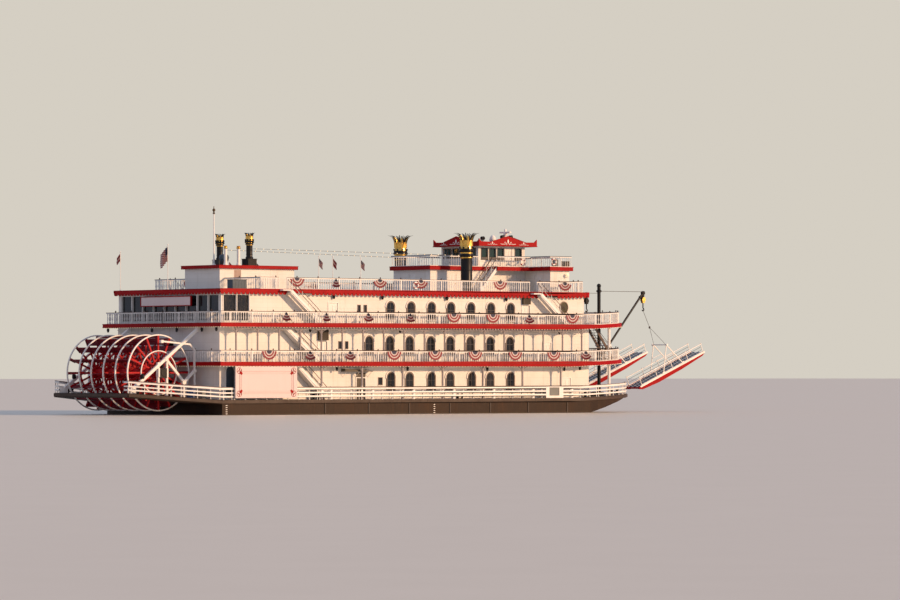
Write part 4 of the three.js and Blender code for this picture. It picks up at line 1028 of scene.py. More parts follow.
def funnel(name, node, x, y, foot, top, r, crown, flare):
    """A black pipe with a gold collar between dark bands, and a gold cup whose tips turn dark."""
    sides = 40

    def at(share):
        return top - crown + crown * share

    shaft = [
        (r * 1.2, foot), (r * 1.2, foot + 0.14), (r * 1.02, foot + 0.2), (r, foot + 0.22), (r, at(0.02))
    ]
    parts = [painted(turned(x, y, shaft, sides), BLACK)]
    cup = [
        (r, at(0.0)), (r * 1.1, at(0.03)), (r * 1.1, at(0.09)), (r * 1.04, at(0.12)), (r * 1.12, at(0.24)),
        (r * 1.12, at(0.4)), (r * 1.03, at(0.46)), (r * 0.98, at(0.56)), (r * 1.04, at(0.68)),
        (r * 0.96, at(0.68)), (r * 0.88, at(0.5)),
    ]
    parts.append(painted(turned(x, y, cup, sides), GOLD))
    for low, high, radius in ((0.055, 0.195, 1.1), (0.245, 0.39, 1.12)):
        parts.append(painted(collar_ring(x, y, r * radius, at(low), at(high), 0.05), BLACK))
    for share in (0.33, 0.66):
        z = foot + (at(0) - foot) * share
        parts.append(painted(collar_ring(x, y, r, z - 0.04, z + 0.04, 0.02), BLACK))
    mouth = [(r * 0.8, at(0.45)), (r * 0.84, at(0.66)), (r * 0.8, at(0.66))]
    parts.append(painted(turned(x, y, mouth, sides), BLACK))
    stud = turned(0, 0, [(0.04, 0), (0.09, 0.02), (0.1, 0.07), (0.05, 0.12)], 12)
    stud.data.transform(Matrix.Rotation(math.pi / 2, 4, "Y"))
    turns = [2 * math.pi * (i + 0.5) / 8 for i in range(8)]
    places = [shift(x, y, at(share)) @ Matrix.Rotation(turn, 4, "Z") @ shift(r * 1.12, 0, 0)
              for turn in turns for share in (0.275, 0.43)]
    parts += all_painted(copies(stud, places), BLACK)
    low = at(0.5)
    for radius, share, width, finish, offset in CROWN_ROWS:
        spread_out = r * (flare - radius) * share ** 1.9
        tip = crown_tip(
            r * radius, (top - low) * math.sin(math.pi / 2 * share ** 0.85), r * width, spread_out
        )
        turns = [2 * math.pi * (i + offset) / CROWN_TIPS for i in range(CROWN_TIPS)]
        places = [shift(x, y, low) @ Matrix.Rotation(turn, 4, "Z") for turn in turns]
        parts += all_painted(copies(tip, places), finish)
    settle(name, parts, "boat", [node])


# rows of funnels: x, y, foot, top, radius, height of the crown and how far it flares
FUNNELS = (
    ("forward_funnel", 34.0, 5.2, ROOF + 0.002, 18.0, 0.58, 2.55, 2.2),
    ("aft_funnel", 8.82, 2.37, 15.082, 17.6, 0.31, 1.24, 1.7),
)


def funnels():
    for side, s in SIDES:
        for row, x, y, foot, top, radius, crown, flare in FUNNELS:
            funnel(f"{row}_dressed_{side}", f"{row}_{side}", x, s * y, foot, top, radius, crown, flare)


# edge boards and valances


def edge_boards():
    for name, deck in (("deck_2", DECK_2), ("deck_3", DECK_3)):
        face = plan_ring(DECK_PLAN, -0.09, 0.02, deck - SLAB - 0.06, deck + 0.03, 18)
        bead_low = plan_ring(DECK_PLAN, -0.115, 0.0, deck - SLAB - 0.06, deck - SLAB, 18)
        bead_high = plan_ring(DECK_PLAN, -0.115, 0.0, deck - 0.04, deck + 0.03, 18)
        board_part = eased(joined([face, bead_low, bead_high]), 0.008)
        settle(f"{name}_edge_board", [painted(board_part, RED)], "boat")
        spots = stations_round(half_outline(DECK_PLAN, -0.1, 18), 0.36, 0.2)
        bulb = ball((0, 0, 0), 0.035, 8, 5)
        lamps = all_painted(copies(bulb, at_stations(spots, deck - SLAB - 0.075)), LAMP)
        settle(f"{name}_lamp_row", lamps, "boat")


VALANCE_GAPS = ((8.75, 11.6), (40.7, 43.0))


def valance_path():
    """Half outline of the roof's edge at close steps, so that the scallops follow its corners."""
    return half_outline(ROOF_PLAN, -0.05, 12)


def scallop(pitch, drop, tab):
    """One scallop: a board with a half-round tab."""
    points = [(-pitch / 2, 0.0), (-pitch / 2, -(drop - tab))]
    reach = pitch * 0.39
    for turn in (math.pi * i / 12 for i in range(13)):
        across = math.copysign(abs(math.cos(turn)) ** 0.55, math.cos(turn))
        points.append((-reach * across, -(drop - tab) - tab * math.sin(turn) ** 0.55))
    points += [(pitch / 2, -(drop - tab)), (pitch / 2, 0.0)]
    return board([points], 0.05)


def valances():
    pitch = 0.5
    (a0, a1), (b0, b1) = VALANCE_GAPS
    stretches = {
        "valance_aft": lambda x, y: x < a0,
        "valance_starboard": lambda x, y: a1 < x < b0 and y < 0,
        "valance_port": lambda x, y: a1 < x < b0 and y > 0,
        "valance_forward": lambda x, y: x > b1,
    }
    spots = stations_round(valance_path(), pitch, pitch / 2)
    for name, keep in stretches.items():
        own = [spot for spot in spots if keep(spot[0], spot[1])]
        template = placed(scallop(pitch, 0.52, 0.27), UPRIGHT)
        parts = copies(template, at_stations(own, ROOF + 0.02))
        settle(name, all_painted(parts, RED), "boat")
    strip = plan_ring(ROOF_PLAN, -0.085, 0.0, ROOF - 0.35, ROOF + 0.03, 12)
    cap = plan_ring(ROOF_PLAN, -0.1, 0.02, ROOF - 0.02, ROOF + 0.035, 12)
    settle("roof_edge_board", [painted(eased(joined([strip, cap]), 0.008), RED)], "boat")


# posts between decks


def bracket(reach, drop):
    """A sawn bracket with an open curve, flat in x, z."""
    outer = [(0, 0), (reach, 0), (reach, -0.05)]
    for turn in (math.pi / 2 * i / 8 for i in range(1, 9)):
        outer.append((reach - reach * math.sin(turn), -0.05 - (drop - 0.05) * (1 - math.cos(turn))))
    hole = [(0.07, -0.07), (reach * 0.55, -0.07), (reach * 0.25, -drop * 0.28), (0.07, -drop * 0.55)]
    thick = 0.05
    part = board([outer, hole], thick)
    return stood_up(part, thick)


def post_trim(width, height):
    """Base and capital mouldings round a square post."""
    parts = []
    for low, high, proud in (
        (0.0, 0.16, 0.03), (0.16, 0.2, 0.018), (height - 0.62, height - 0.57, 0.025),
        (height - 0.1, height - 0.03, 0.03)
    ):
        half = width / 2 + proud
        parts.append(block(-half, half, -half, half, low, high))
    return eased(joined(parts), 0.008)


def post_row(xs, y, foot, head, width, reach, drop):
    """Mouldings on a row of posts, each with a bracket fore and aft under the deck above."""
    low = [shift(x, y, foot + lift(x) + 0.005) for x in xs]
    fore = [shift(x + width / 2, y, head + lift(x)) for x in xs]
    aft = [shift(x - width / 2, y, head + lift(x)) @ Matrix.Scale(-1, 4, (1, 0, 0)) for x in xs]
    parts = copies(post_trim(width, head - foot), low)
    parts += copies(bracket(reach, drop), fore)
    return parts + copies(bracket(reach, drop), aft)


def deck_posts():
    upper = [2.04 + NEWEL_PITCH * i for i in range(18)]
    lower = (12.4, 17.4, 22.5, 27.6, 32.8, 38.0, 43.1)
    for side, s in SIDES:
        parts = post_row(upper, s * 9.15, DECK_2, DECK_3 - SLAB - 0.22, 0.12, 0.55, 0.6)
        parts += post_row(lower, s * 9.13, MAIN_DECK, DECK_2 - SLAB - 0.003, 0.14, 0.7, 0.75)
        # the posts and brackets take the grey that is partly painted shade
        settle(f"post_brackets_{side}", all_painted(parts, POST_GREY_AND_SHADE), "boat")


# hull trim


def hull_trim():
    guard = edge_strips(main_deck_edge, -0.09, 0.03, MAIN_DECK - 0.36, MAIN_DECK - 0.05, -8.3, 56.2)
    guard.append(lifted(block(-8.39, -8.27, -5.99, 5.99, MAIN_DECK - 0.36, MAIN_DECK - 0.05)))
    guard.append(lifted(block(56.17, 56.29, -2.62, 2.62, MAIN_DECK - 0.36, MAIN_DECK - 0.05)))
    settle("guard_strake", [painted(eased(joined(guard), 0.02), GUARD_WOOD)], "boat")
    half_round = rod((0, 0, 0), (0, 0, 1.0), 0.07, 12)
    xs = (12.7, 18.1, 23.2, 28.4, 33.6, 38.6, 43.8)
    places = [shift(x, s * 9.32, 0.06) for x in xs for _, s in SIDES]
    settle("rub_bars", all_painted(copies(half_round, places), RUB_BAR), "boat")
    dash = block(-0.1, 0.1, -0.008, 0.008, -0.028, 0.028)
    places = [shift(x, s * 9.306, 0.12 + 0.2 * i) for x in (0.8, 26.4) for i in range(5) for _, s in SIDES]
    settle("draft_dashes", all_painted(copies(dash, places), WHITE_TRIM), "boat")


# mooring bitts of the port side: x, y and turn
BITTS = ((52.9, 6.3, 0.9), (47.2, 8.55, 0.1), (30.2, 8.7, 0), (12.0, 8.72, 0), (-6.6, 5.75, 0.2))


def bitts():
    post = [(0.11, 0.0), (0.11, 0.42), (0.15, 0.45), (0.15, 0.5), (0.06, 0.53)]
    pair = [turned(-0.28, 0, post, 16), turned(0.28, 0, post, 16), block(-0.5, 0.5, -0.2, 0.2, 0.0, 0.05)]
    pair.append(rod((-0.42, 0, 0.3), (0.42, 0, 0.3), 0.05, 10))
    spots = [(x, s * y, s * turn) for x, y, turn in BITTS for s in (1, -1)]
    places = at_stations(spots, MAIN_DECK + 0.002)
    settle("mooring_bitts", all_painted(copies(joined(pair), places), BLACK), "boat")


def deck_gear():
    """Capstan, fenders, a drum and lockers on the main deck."""
    z = MAIN_DECK + lift(53.6) + 0.002
    profile = [
        (0.5, 0.0), (0.5, 0.1), (0.3, 0.16), (0.22, 0.45), (0.3, 0.72), (0.42, 0.78), (0.42, 0.9),
        (0.12, 0.95),
    ]
    capstan = turned(53.6, 0, raised(profile, z), 28)
    gear = [painted(eased(capstan, 0.01), BLACK)]
    for s in (1, -1):
        for x, y, turn in ((48.9, 7.35, 0.45), (50.1, 6.9, 0.6), (49.2, 6.7, 0.2)):
            fender = rod((-0.5, 0, 0.2), (0.5, 0, 0.2), 0.2, 16)
            ends = [ball((-0.5, 0, 0.2), 0.2), ball((0.5, 0, 0.2), 0.2)]
            whole = joined([fender, *ends])
            place = shift(x, s * y, MAIN_DECK + lift(x) + 0.003) @ Matrix.Rotation(s * turn, 4, "Z")
            gear.append(painted(placed(whole, place), RUBBER))
        for x, y, width in ((1.0, 5.0, 1.1), (0.0, 6.6, 0.7)):
            top = MAIN_DECK + lift(x)
            y0, y1 = s * y - width / 2, s * y + width / 2
            case = block(x - 0.3, x + 0.3, y0, y1, top + 0.003, top + 0.85)
            lid = block(x - 0.34, x + 0.34, y0 - 0.04, y1 + 0.04, top + 0.85, top + 0.92)
            gear.append(painted(eased(joined([case, lid]), 0.015), GREY))
    settle("deck_gear", gear, "boat")
    barrel = [
        (0.28, 0.0), (0.3, 0.04), (0.3, 0.28), (0.32, 0.3), (0.3, 0.32), (0.3, 0.56), (0.32, 0.58),
        (0.3, 0.6), (0.29, 0.84), (0.22, 0.85),
    ]
    drums = []
    for x, y in ((48.3, -7.35), (48.7, 7.3), (-1.9, -7.15)):
        drums.append(turned(x, y, raised(barrel, MAIN_DECK + lift(x) + 0.003), 24))
    settle("blue_drums", all_painted(drums, BLUE), "boat")


# trusses beside the wheel

TRUSS_Y = 5.56
# gusset plates of a truss: x, z and size
TRUSS_PLATES = (
    (-4.07, 6.98, 0.3), (-1.46, 3.14, 0.42), (-3.55, 5.3, 0.4), (-4.48, 3.0, 0.24), (-3.48, 3.0, 0.24),
    (-0.2, 4.2, 0.3),
)


def truss_fittings():
    """Gusset plates, studs, bearing housings, a lamp and a grease cup on each truss."""
    plates = []
    for _, s in SIDES:
        y = s * TRUSS_Y
        for x, z, size in TRUSS_PLATES:
            half = size / 2
            spots = [(x + dx * size, z + dz * size) for dx in (-0.3, 0.3) for dz in (-0.3, 0.3)]
            plate = block(x - half, x + half, y - 0.15, y + 0.15, z - half, z + half)
            bolts = [rod((u, y - 0.18, v), (u, y + 0.18, v), 0.025, 6) for u, v in spots]
            plates += [eased(plate, 0.012), *bolts]
        for u in (WHEEL.x - 0.47, WHEEL.x + 0.47):
            for v in (WHEEL.z - 0.28, WHEEL.z + 0.28):
                plates.append(rod((u, y, v - 0.2), (u, y, v + 0.2), 0.05, 8))
    greasy = []
    for _, s in SIDES:
        y = s * TRUSS_Y
        housing = block(WHEEL.x - 0.4, WHEEL.x + 0.4, y - 0.25, y + 0.25, WHEEL.z - 0.5, WHEEL.z + 0.42)
        greasy.append(eased(housing, 0.03))
    settle("truss_plates", all_painted(plates, WHITE_TRIM), "boat")
    for _, s in SIDES:
        y = s * TRUSS_Y
        bearing = rod((WHEEL.x, y - 0.29, WHEEL.z), (WHEEL.x, y + 0.29, WHEEL.z), 0.34, 32)
        lamp = turned(-6.3, y, [(0.12, 3.42), (0.2, 3.5), (0.2, 3.8), (0.1, 3.92), (0.04, 3.95)], 16)
        cup = turned(WHEEL.x, y, [(0.1, 4.46), (0.1, 4.6), (0.16, 4.62), (0.16, 4.74), (0.05, 4.78)], 16)
        greasy += [eased(bearing, 0.02), lamp, cup]
    settle("grease_cups", all_painted(greasy, BLACK), "boat")


# stairs

# flights of stairs: top x, foot x, both edges in y, top z and foot z
FLIGHTS = (
    (9.5, 13.4, 8.3, 9.0, DECK_2, MAIN_DECK), (8.0, 12.5, 8.3, 9.0, DECK_3, DECK_2),
    (8.7, 12.5, 8.65, 9.18, ROOF, DECK_3), (40.5, 44.3, 8.65, 9.18, ROOF, DECK_3 + lift(44.3)),
    (39.05, 36.75, 3.3, 4.0, 14.72, ROOF),
)


def stairs():
    """Stringers, tread edges and handrails on the stepped flights."""
    white, treads, wood = [], [], []
    for top_x, foot_x, y0, y1, top_z, foot_z in FLIGHTS:
        run = foot_x - top_x
        steps = 12
        for _, s in SIDES:
            for y in (y0 - 0.02, y1 + 0.02):
                white.append(beam((top_x, s * y, top_z - 0.12), (foot_x, s * y, foot_z + 0.08), 0.04, 0.26))
                wood.append(pipe([(top_x, s * y, top_z + 0.95), (foot_x, s * y, foot_z + 0.98)], 0.03, 8))
                white.append(rod((top_x, s * y, top_z + 0.5), (foot_x, s * y, foot_z + 0.53), 0.014, 6))
                for share in (0.02, 0.34, 0.66, 0.98):
                    x = top_x + run * share
                    z = top_z + (foot_z - top_z) * share
                    white.append(rod((x, s * y, z - 0.1), (x, s * y, z + 0.96), 0.024, 8))
            for i in range(1, steps):
                x = top_x + run / (steps - 1) * (i - 0.96)
                z = top_z - (top_z - foot_z) / steps * i
                into = 0.16 if run > 0 else -0.16
                treads.append(block(min(x, x - into), max(x, x - into), s * y0, s * y1, z, z + 0.018))
    settle("stair_stringers", all_painted(white, WHITE_TRIM), "boat")
    settle("stair_treads", all_painted(treads, BLACK), "boat")
    settle("stair_handrails", all_painted(wood, RAIL_WOOD), "boat")


# aft lounge and the boards on it


def lounge_trim():
    parts = []
    pitch = (16.4 - 0.6) / 9
    low, high = DECK_3 + 0.3, DECK_3 + 2.7
    for i in range(10):
        y = -7.9 + pitch * i
        parts.append(block(0.93, 1.02, y - 0.045, y + 0.045, DECK_3 + 0.01, ROOF - 0.36))
    for z in (low - 0.06, high):
        parts.append(block(0.94, 1.02, -8.19, 8.19, z, z + 0.06))
    for y in (-8.2, 8.2):
        s = 1 if y > 0 else -1
        parts.append(block(0.93, 1.09, y - 0.08, y + 0.08, DECK_3 + 0.01, ROOF - 0.36))
        for x in (1.2, 2.82, 4.34):
            parts.append(block(x - 0.045, x + 0.045, y, y + s * 0.07, DECK_3 + 0.01, ROOF - 0.36))
        for z in (low - 0.06, high):
            parts.append(block(1.1, 4.36, y, y + s * 0.06, z, z + 0.06))
    settle(
        "lounge_mullions", [painted(eased(part, 0.01), WHITE_TRIM) for part in parts], "boat"
    )
    board_part = block(0.5, 0.6, -4, 4, 10.45, 11.34)
    stays = [rod((0.6, y, 11.1), (0.98, y, 11.1), 0.03, 8) for y in (-3.4, -1.1, 1.1, 3.4)]
    lip = [block(0.46, 0.64, -4.06, 4.06, z - 0.04, z + 0.04) for z in (10.45, 11.34)]
    lip += [block(0.46, 0.64, y - 0.05, y + 0.05, 10.45, 11.34) for y in (-4.02, 4.02)]
    parts = [painted(eased(board_part, 0.01), SIGN_WHITE)] + all_painted(stays, WHITE_TRIM)
    settle("aft_board", parts + [painted(eased(part, 0.01), RED) for part in lip], "boat")


def corner_scroll():
    """A small leaf scroll for the corner of a sign, drawn flat with its corner at the origin."""
    steps = [i / 14 for i in range(2, 15)]
    curl = [(0.1 + 0.5 * t * math.cos(4.4 * t), 0.12 + 0.42 * t * math.sin(4.4 * t), 0) for t in steps]
    other = [(y, x, 0) for x, y, _ in curl]
    leaf = board([[(0.05, 0.05), (0.3, 0.1), (0.42, 0.3), (0.3, 0.42), (0.1, 0.3)]], 0.014)
    return joined([pipe(curl, 0.018, 6), pipe(other, 0.018, 6), leaf])


def sign_borders():
    """A thin red line with notched corners and leaf scrolls on each blank side sign."""
    width, height, notch = 7.1, 2.72, 0.34
    for side, s in SIDES:
        parts = []
        for inset, line in ((0.0, 0.035), (0.09, 0.018)):
            edge = []
            for cx, cy in ((1, 1), (-1, 1), (-1, -1), (1, -1)):
                steps = range(7) if cx * cy < 0 else range(6, -1, -1)
                for i in steps:
                    turn = math.pi / 2 * i / 6
                    across = width / 2 - inset - (notch + inset) * math.sin(turn)
                    up = height / 2 - inset - (notch + inset) * math.cos(turn)
                    edge.append((cx * across, cy * up, 0))
            parts.append(pipe(edge, line, 6, closed=True))
        scroll = corner_scroll()
        corners = []
        for cx in (1, -1):
            for cy in (1, -1):
                corner = shift(cx * (width / 2 - 0.62), cy * (height / 2 - 0.6), 0)
                corners.append(corner @ Matrix.Diagonal((-cx, -cy, 1, 1)) @ shift(-0.35, -0.35, 0))
        parts += copies(scroll, corners)
        whole = placed(joined(parts), facing(side, 5.4, s * 9.545, 3.12))
        settle(f"sign_border_{side}", [painted(whole, RED)], "boat")


# aft house roof


def aft_house_top():
    """Roof edge with teeth, funnel boxes, vent pipes, a cowl and the flagpole of the aft house."""
    x0, x1, half, low, high = 4.6, 14.3, 3.05, 14.15, 14.42
    slab = painted(
        eased(block(x0 + 0.03, x1 - 0.03, -half + 0.03, half - 0.03, low + 0.02, high - 0.01), 0.01), DECK
    )
    edge = [block(x0, x1, s * half - s * 0.05, s * half, low, high) for s in (1, -1)]
    edge += [block(x, x + 0.05, -half, half, low, high) for x in (x0, x1 - 0.05)]
    bead = [
        block(x0 - 0.03, x1 + 0.03, s * half - s * 0.06, s * (half + 0.03), high - 0.05, high)
        for s in (1, -1)
    ]
    bead += [block(x - 0.03, x + 0.03, -half - 0.03, half + 0.03, high - 0.05, high) for x in (x0, x1)]
    tooth = board([[(-0.11, 0), (-0.11, -0.03), (0, -0.12), (0.11, -0.03), (0.11, 0)]], 0.03)
    places = [facing("starboard", x0 + 0.12 + 0.24 * i, -half + 0.01, low + 0.01) for i in range(40)]
    places += [facing("port", x0 + 0.12 + 0.24 * i, half - 0.01, low + 0.01) for i in range(40)]
    places += [facing("aft", x0 + 0.01, -half + 0.13 + 0.24 * i, low + 0.01) for i in range(25)]
    places += [facing("fore", x1 - 0.01, -half + 0.13 + 0.24 * i, low + 0.01) for i in range(25)]
    red = [eased(joined(edge + bead), 0.008), *copies(tooth, places)]
    parts = [slab] + all_painted(red, RED)
    for s in (1, -1):
        y = s * 2.37
        case = block(8.3, 9.34, y - 0.52, y + 0.52, high - 0.02, high + 0.62)
        rim = block(8.26, 9.38, y - 0.56, y + 0.56, high + 0.6, high + 0.66)
        slats = [
            block(8.4, 9.24, y - 0.545, y + 0.545, high + 0.1 + 0.1 * i, high + 0.13 + 0.1 * i)
            for i in range(5)
        ]
        parts.append(painted(eased(joined([case, rim, *slats]), 0.01), BLACK))
    for x in (5.98, 7.55):
        tube = [(0.22, high), (0.22, high + 0.12), (0.16, high + 0.16), (0.16, 16.02)]
        cap = [(0.17, 16.0), (0.2, 16.06), (0.2, 16.14), (0.13, 16.2), (0.19, 16.28), (0.1, 16.3)]
        parts.append(painted(turned(x, -2.3, tube, 20), WHITE_TRIM))
        parts.append(painted(turned(x, -2.3, cap, 20), GOLD))
    cowl = [
        (0.26, high), (0.26, high + 0.3), (0.42, high + 0.5), (0.5, high + 0.78), (0.42, high + 1.02),
        (0.14, high + 1.12)
    ]
    parts.append(painted(turned(7.0, -0.7, cowl, 24), BLUE_GREY))
    box_part = block(6.2, 6.75, -1.6, -1.1, high, high + 0.45)
    parts.append(painted(eased(box_part, 0.03), BLACK))
    foot = [
        (0.2, high), (0.2, high + 0.1), (0.09, high + 0.2), (0.07, high + 0.9), (0.055, 19.5), (0.03, 19.52)
    ]
    parts.append(painted(turned(6.3, 0, foot, 16), WHITE_TRIM))
    finial = [
        (0.03, 19.4), (0.13, 19.46), (0.09, 19.56), (0.05, 19.62), (0.15, 19.78), (0.15, 19.86),
        (0.04, 19.98), (0.03, 20.18)
    ]
    parts.append(painted(turned(6.3, 0, finial, 14), BRONZE))
    settle("aft_house_roof_dressed", parts, "boat", ["aft_house_roof"])


# windows

# arched windows of each level: their middles in x, and the height of their tops
WINDOWS = {
    DECK_3: ((21.7, 24.3, 26.9, 29.4, 32.0, 34.6, 37.2), 11.05),
    DECK_2: ((19.0, 21.6, 24.1, 26.8, 29.3, 31.9, 34.5, 37.1), 7.68),
    MAIN_DECK: ((21.75, 24.1, 26.9, 29.3, 32.1, 34.5, 37.2), 4.13),
}


def arch(width, height):
    steps = 12
    radius = width / 2
    shoulder = height - radius
    turns = [math.pi * i / steps for i in range(steps + 1)]
    curve = [(radius * math.cos(turn), shoulder + radius * math.sin(turn)) for turn in turns]
    return [(-radius, 0.0), (radius, 0.0), *curve]


def arch_band(outer_width, outer_height, inner_width, inner_height, foot, thickness):
    """A band round an arch, open at its foot."""
    outer, inner = arch(outer_width, outer_height)[2:], arch(inner_width, inner_height)[2:]
    outer_half, inner_half = outer_width / 2, inner_width / 2
    edge = [
        (outer_half, foot), *outer, (-outer_half, foot), (-inner_half, foot), *reversed(inner),
        (inner_half, foot)
    ]
    return board([edge], thickness)


def arched_window():
    """An arched window with its casing, hood and sill: the casing's parts, then the pane."""
    casing = painted(
        board([arch(1.14, 1.85), [(u * 0.82, 0.1 + v * 0.89) for u, v in arch(1.14, 1.85)]], 0.07), CASING
    )
    hood = painted(arch_band(1.3, 1.96, 1.14, 1.86, 1.2, 0.1), WHITE_TRIM)
    sill = painted(block(-0.64, 0.64, -0.09, 0.0, 0.0, 0.14), WHITE_TRIM)
    sash = painted(
        board([arch(0.94, 1.66), [(u * 0.9, 0.05 + v * 0.93) for u, v in arch(0.94, 1.66)]], 0.04), SASH
    )
    sash.data.transform(shift(0, 0.11, 0))
    bars = [
        painted(block(-0.015, 0.015, 0.15, 1.76, 0.0, 0.03), SASH),
        painted(block(-0.42, 0.42, 1.0, 1.03, 0.0, 0.03), SASH)
    ]
    pane = painted(board([[(u, v + 0.1) for u, v in arch(0.98, 1.7)]], 0.012), GLASS)
    return joined([casing, hood, sill, sash, *bars, pane])


def windows():
    for side, s in SIDES:
        places = [
            facing(side, x, s * (WALL_Y - 0.002), top - 1.85) for xs, top in WINDOWS.values() for x in xs
        ]
        settle(f"arched_windows_{side}", copies(arched_window(), places), "boat")


# doors, small windows and fittings on the walls

# doorways in the side walls: wall level, aft jamb, width, and the leaf's own body where it swings
DOORWAYS = (
    (MAIN_DECK, 17.45, 1.1, "main_deck_leaf"), (MAIN_DECK, 44.0, 1.2, None),
    (DECK_2, 12.7, 1.1, "deck_2_leaf"), (DECK_2, 41.5, 1.1, None),
    (DECK_3, 38.75, 1.0, "deck_3_leaf"), (DECK_3, 14.0, 1.1, None),
)
DOOR_HEIGHT = 2.05


def frame_round(width, height, rim, thickness):
    """A flat frame round an opening whose foot is at the origin, with no sill."""
    half = width / 2
    edge = [(-half - rim, 0), (-half, 0), (-half, height), (half, height), (half, 0), (half + rim, 0)]
    edge += [(half + rim, height + rim), (-half - rim, height + rim)]
    return board([edge], thickness)


def rectangle(width, height, low=0.0, middle=0.0):
    left, right, high = middle - width / 2, middle + width / 2, low + height
    return [(left, low), (right, low), (right, high), (left, high)]


def door_trim(width, height):
    """Rails round four sunk panels, and a handle, on the face of a door leaf."""
    face = [rectangle(width - 0.04, height - 0.04, 0.02)]
    face += [
        rectangle(width * 0.3, height * 0.34, low, at) for at in (-width * 0.2, width * 0.2)
        for low in (0.18, height * 0.56)
    ]
    rails = painted(board(face, 0.02), WHITE_TRIM)
    handle = joined([rod((width * 0.38, height * 0.5, 0.015), (width * 0.38, height * 0.5, 0.055), 0.018, 10),
                     ball((width * 0.38, height * 0.5, 0.07), 0.035, 12, 8)])
    return [rails, painted(handle, GOLD)]


def slatted_box(width, height, depth):
    """A shallow box with slats across its face."""
    rim = board([rectangle(width, height), rectangle(width - 0.12, height - 0.12, 0.06)], depth)
    back = board([rectangle(width - 0.1, height - 0.1, 0.05)], 0.02)
    slats = []
    count = int((height - 0.12) / 0.1)
    for i in range(count):
        z = 0.08 + (height - 0.16) * (i + 0.5) / count
        slats.append(block(-width / 2 + 0.05, width / 2 - 0.05, z - 0.03, z + 0.02, 0.03, depth - 0.03))
    return joined([rim, back, *slats])


def small_window(width, height):
    rim = painted(
        board([rectangle(width, height), rectangle(width - 0.1, height - 0.1, 0.05)], 0.05), CASING
    )
    pane = painted(board([rectangle(width - 0.08, height - 0.08, 0.04)], 0.015), GLASS)
    sill = painted(block(-width / 2 - 0.04, width / 2 + 0.04, -0.05, 0.0, 0.0, 0.08), WHITE_TRIM)
    return joined([rim, pane, sill])


def on_both_walls(items, y=WALL_Y):
    """Places on both side walls for a list of x and z."""
    return [facing(side, x, s * (y - 0.002), z) for x, z in items for side, s in SIDES]


def wall_doors():
    shut = []
    for deck, x, width, body in DOORWAYS:
        middle = x + width / 2
        shut += copies(
            painted(frame_round(width, DOOR_HEIGHT, 0.09, 0.05), WHITE_TRIM),
            on_both_walls([(middle, deck + lift(x))])
        )
        if body:
            for side, s in SIDES:
                parts = door_trim(width - 0.08, DOOR_HEIGHT - 0.1)
                place = facing(side, x - 0.01 + width / 2, s * 8.121, deck + 0.05)
                finish = OLIVE if deck == MAIN_DECK else WHITE_TRIM
                parts[0] = painted(parts[0], finish)
                settle(
                    f"{body}_face_{side}", [placed(part, place) for part in parts], f"{body}_{side}",
                )
            continue
        leaf = painted(board([rectangle(width - 0.02, DOOR_HEIGHT - 0.02, 0.01)], 0.04), WHITE_TRIM)
        face = [placed(part, shift(0, 0, 0.04)) for part in door_trim(width - 0.04, DOOR_HEIGHT - 0.06)]
        shut += copies(joined([leaf, *face]), on_both_walls([(middle, deck + lift(x))], 8.13))
    head = slatted_box(1.1, 0.44, 0.05)
    shut += all_painted(copies(head, on_both_walls([(18.0, MAIN_DECK + DOOR_HEIGHT + 0.09)])), OLIVE)
    for deck, nose_x in ((MAIN_DECK, 48.0), (DECK_2, 48.0), (DECK_3, 47.4)):
        z = deck + lift(nose_x)
        for y in (-4.0, 4.0):
            trim = placed(frame_round(1.4, 2.32, 0.09, 0.05), facing("fore", nose_x, y, z))
            shut.append(painted(trim, WHITE_TRIM))
    settle("side_doors", shut, "boat")


def wall_fittings():
    """Small windows, vents over doorways and gates in the rail."""
    panes = copies(
        small_window(0.4, 0.78), on_both_walls([(17.78, 9.86), (18.55, 9.86), (15.41, 6.31), (16.23, 6.31)])
    )
    panes += copies(small_window(0.56, 0.78), on_both_walls([(20.44, 2.81)]))
    settle("small_windows", panes, "boat")
    vents = copies(slatted_box(1.12, 1.12, 0.3), on_both_walls([(13.23, DECK_2 + 2.16)]))
    vents += copies(slatted_box(0.94, 0.66, 0.3), on_both_walls([(39.2, DECK_3 + 2.16)]))
    settle("door_vents", all_painted(vents, OLIVE), "boat")
    gate = all_painted(
        copies(board([rectangle(2.3, 1.16)], 0.06), on_both_walls([(42.15, 1.5)], 9.24)), WHITE_TRIM
    )
    gate += all_painted(copies(slatted_box(1.25, 0.8, 0.05), on_both_walls([(42.1, 1.76)], 9.3)), GREY)
    settle("gangway_gates", gate, "boat")


def door_canopies():
    """A sloping canopy on stays over each door of the main deck."""
    parts = []
    reach = 0.68
    for _, s in SIDES:
        slope = board([[(15.55, 0.0), (19.0, 0.0), (19.0, 0.06), (15.55, 0.3)]], reach)
        placed(slope, shift(0, s * WALL_Y + (reach if s > 0 else 0), 4.14) @ UPRIGHT)
        parts.append(painted(slope, OLIVE))
        parts.append(painted(block(15.45, 19.05, s * WALL_Y, s * 8.9, 4.44, 4.5), WHITE_TRIM))
        stays = [rod((x, s * WALL_Y, 3.6), (x, s * 8.84, 4.16), 0.02, 8) for x in (15.75, 17.35, 18.85)]
        parts += all_painted(stays, WHITE_TRIM)
    settle("door_canopies", parts, "boat")


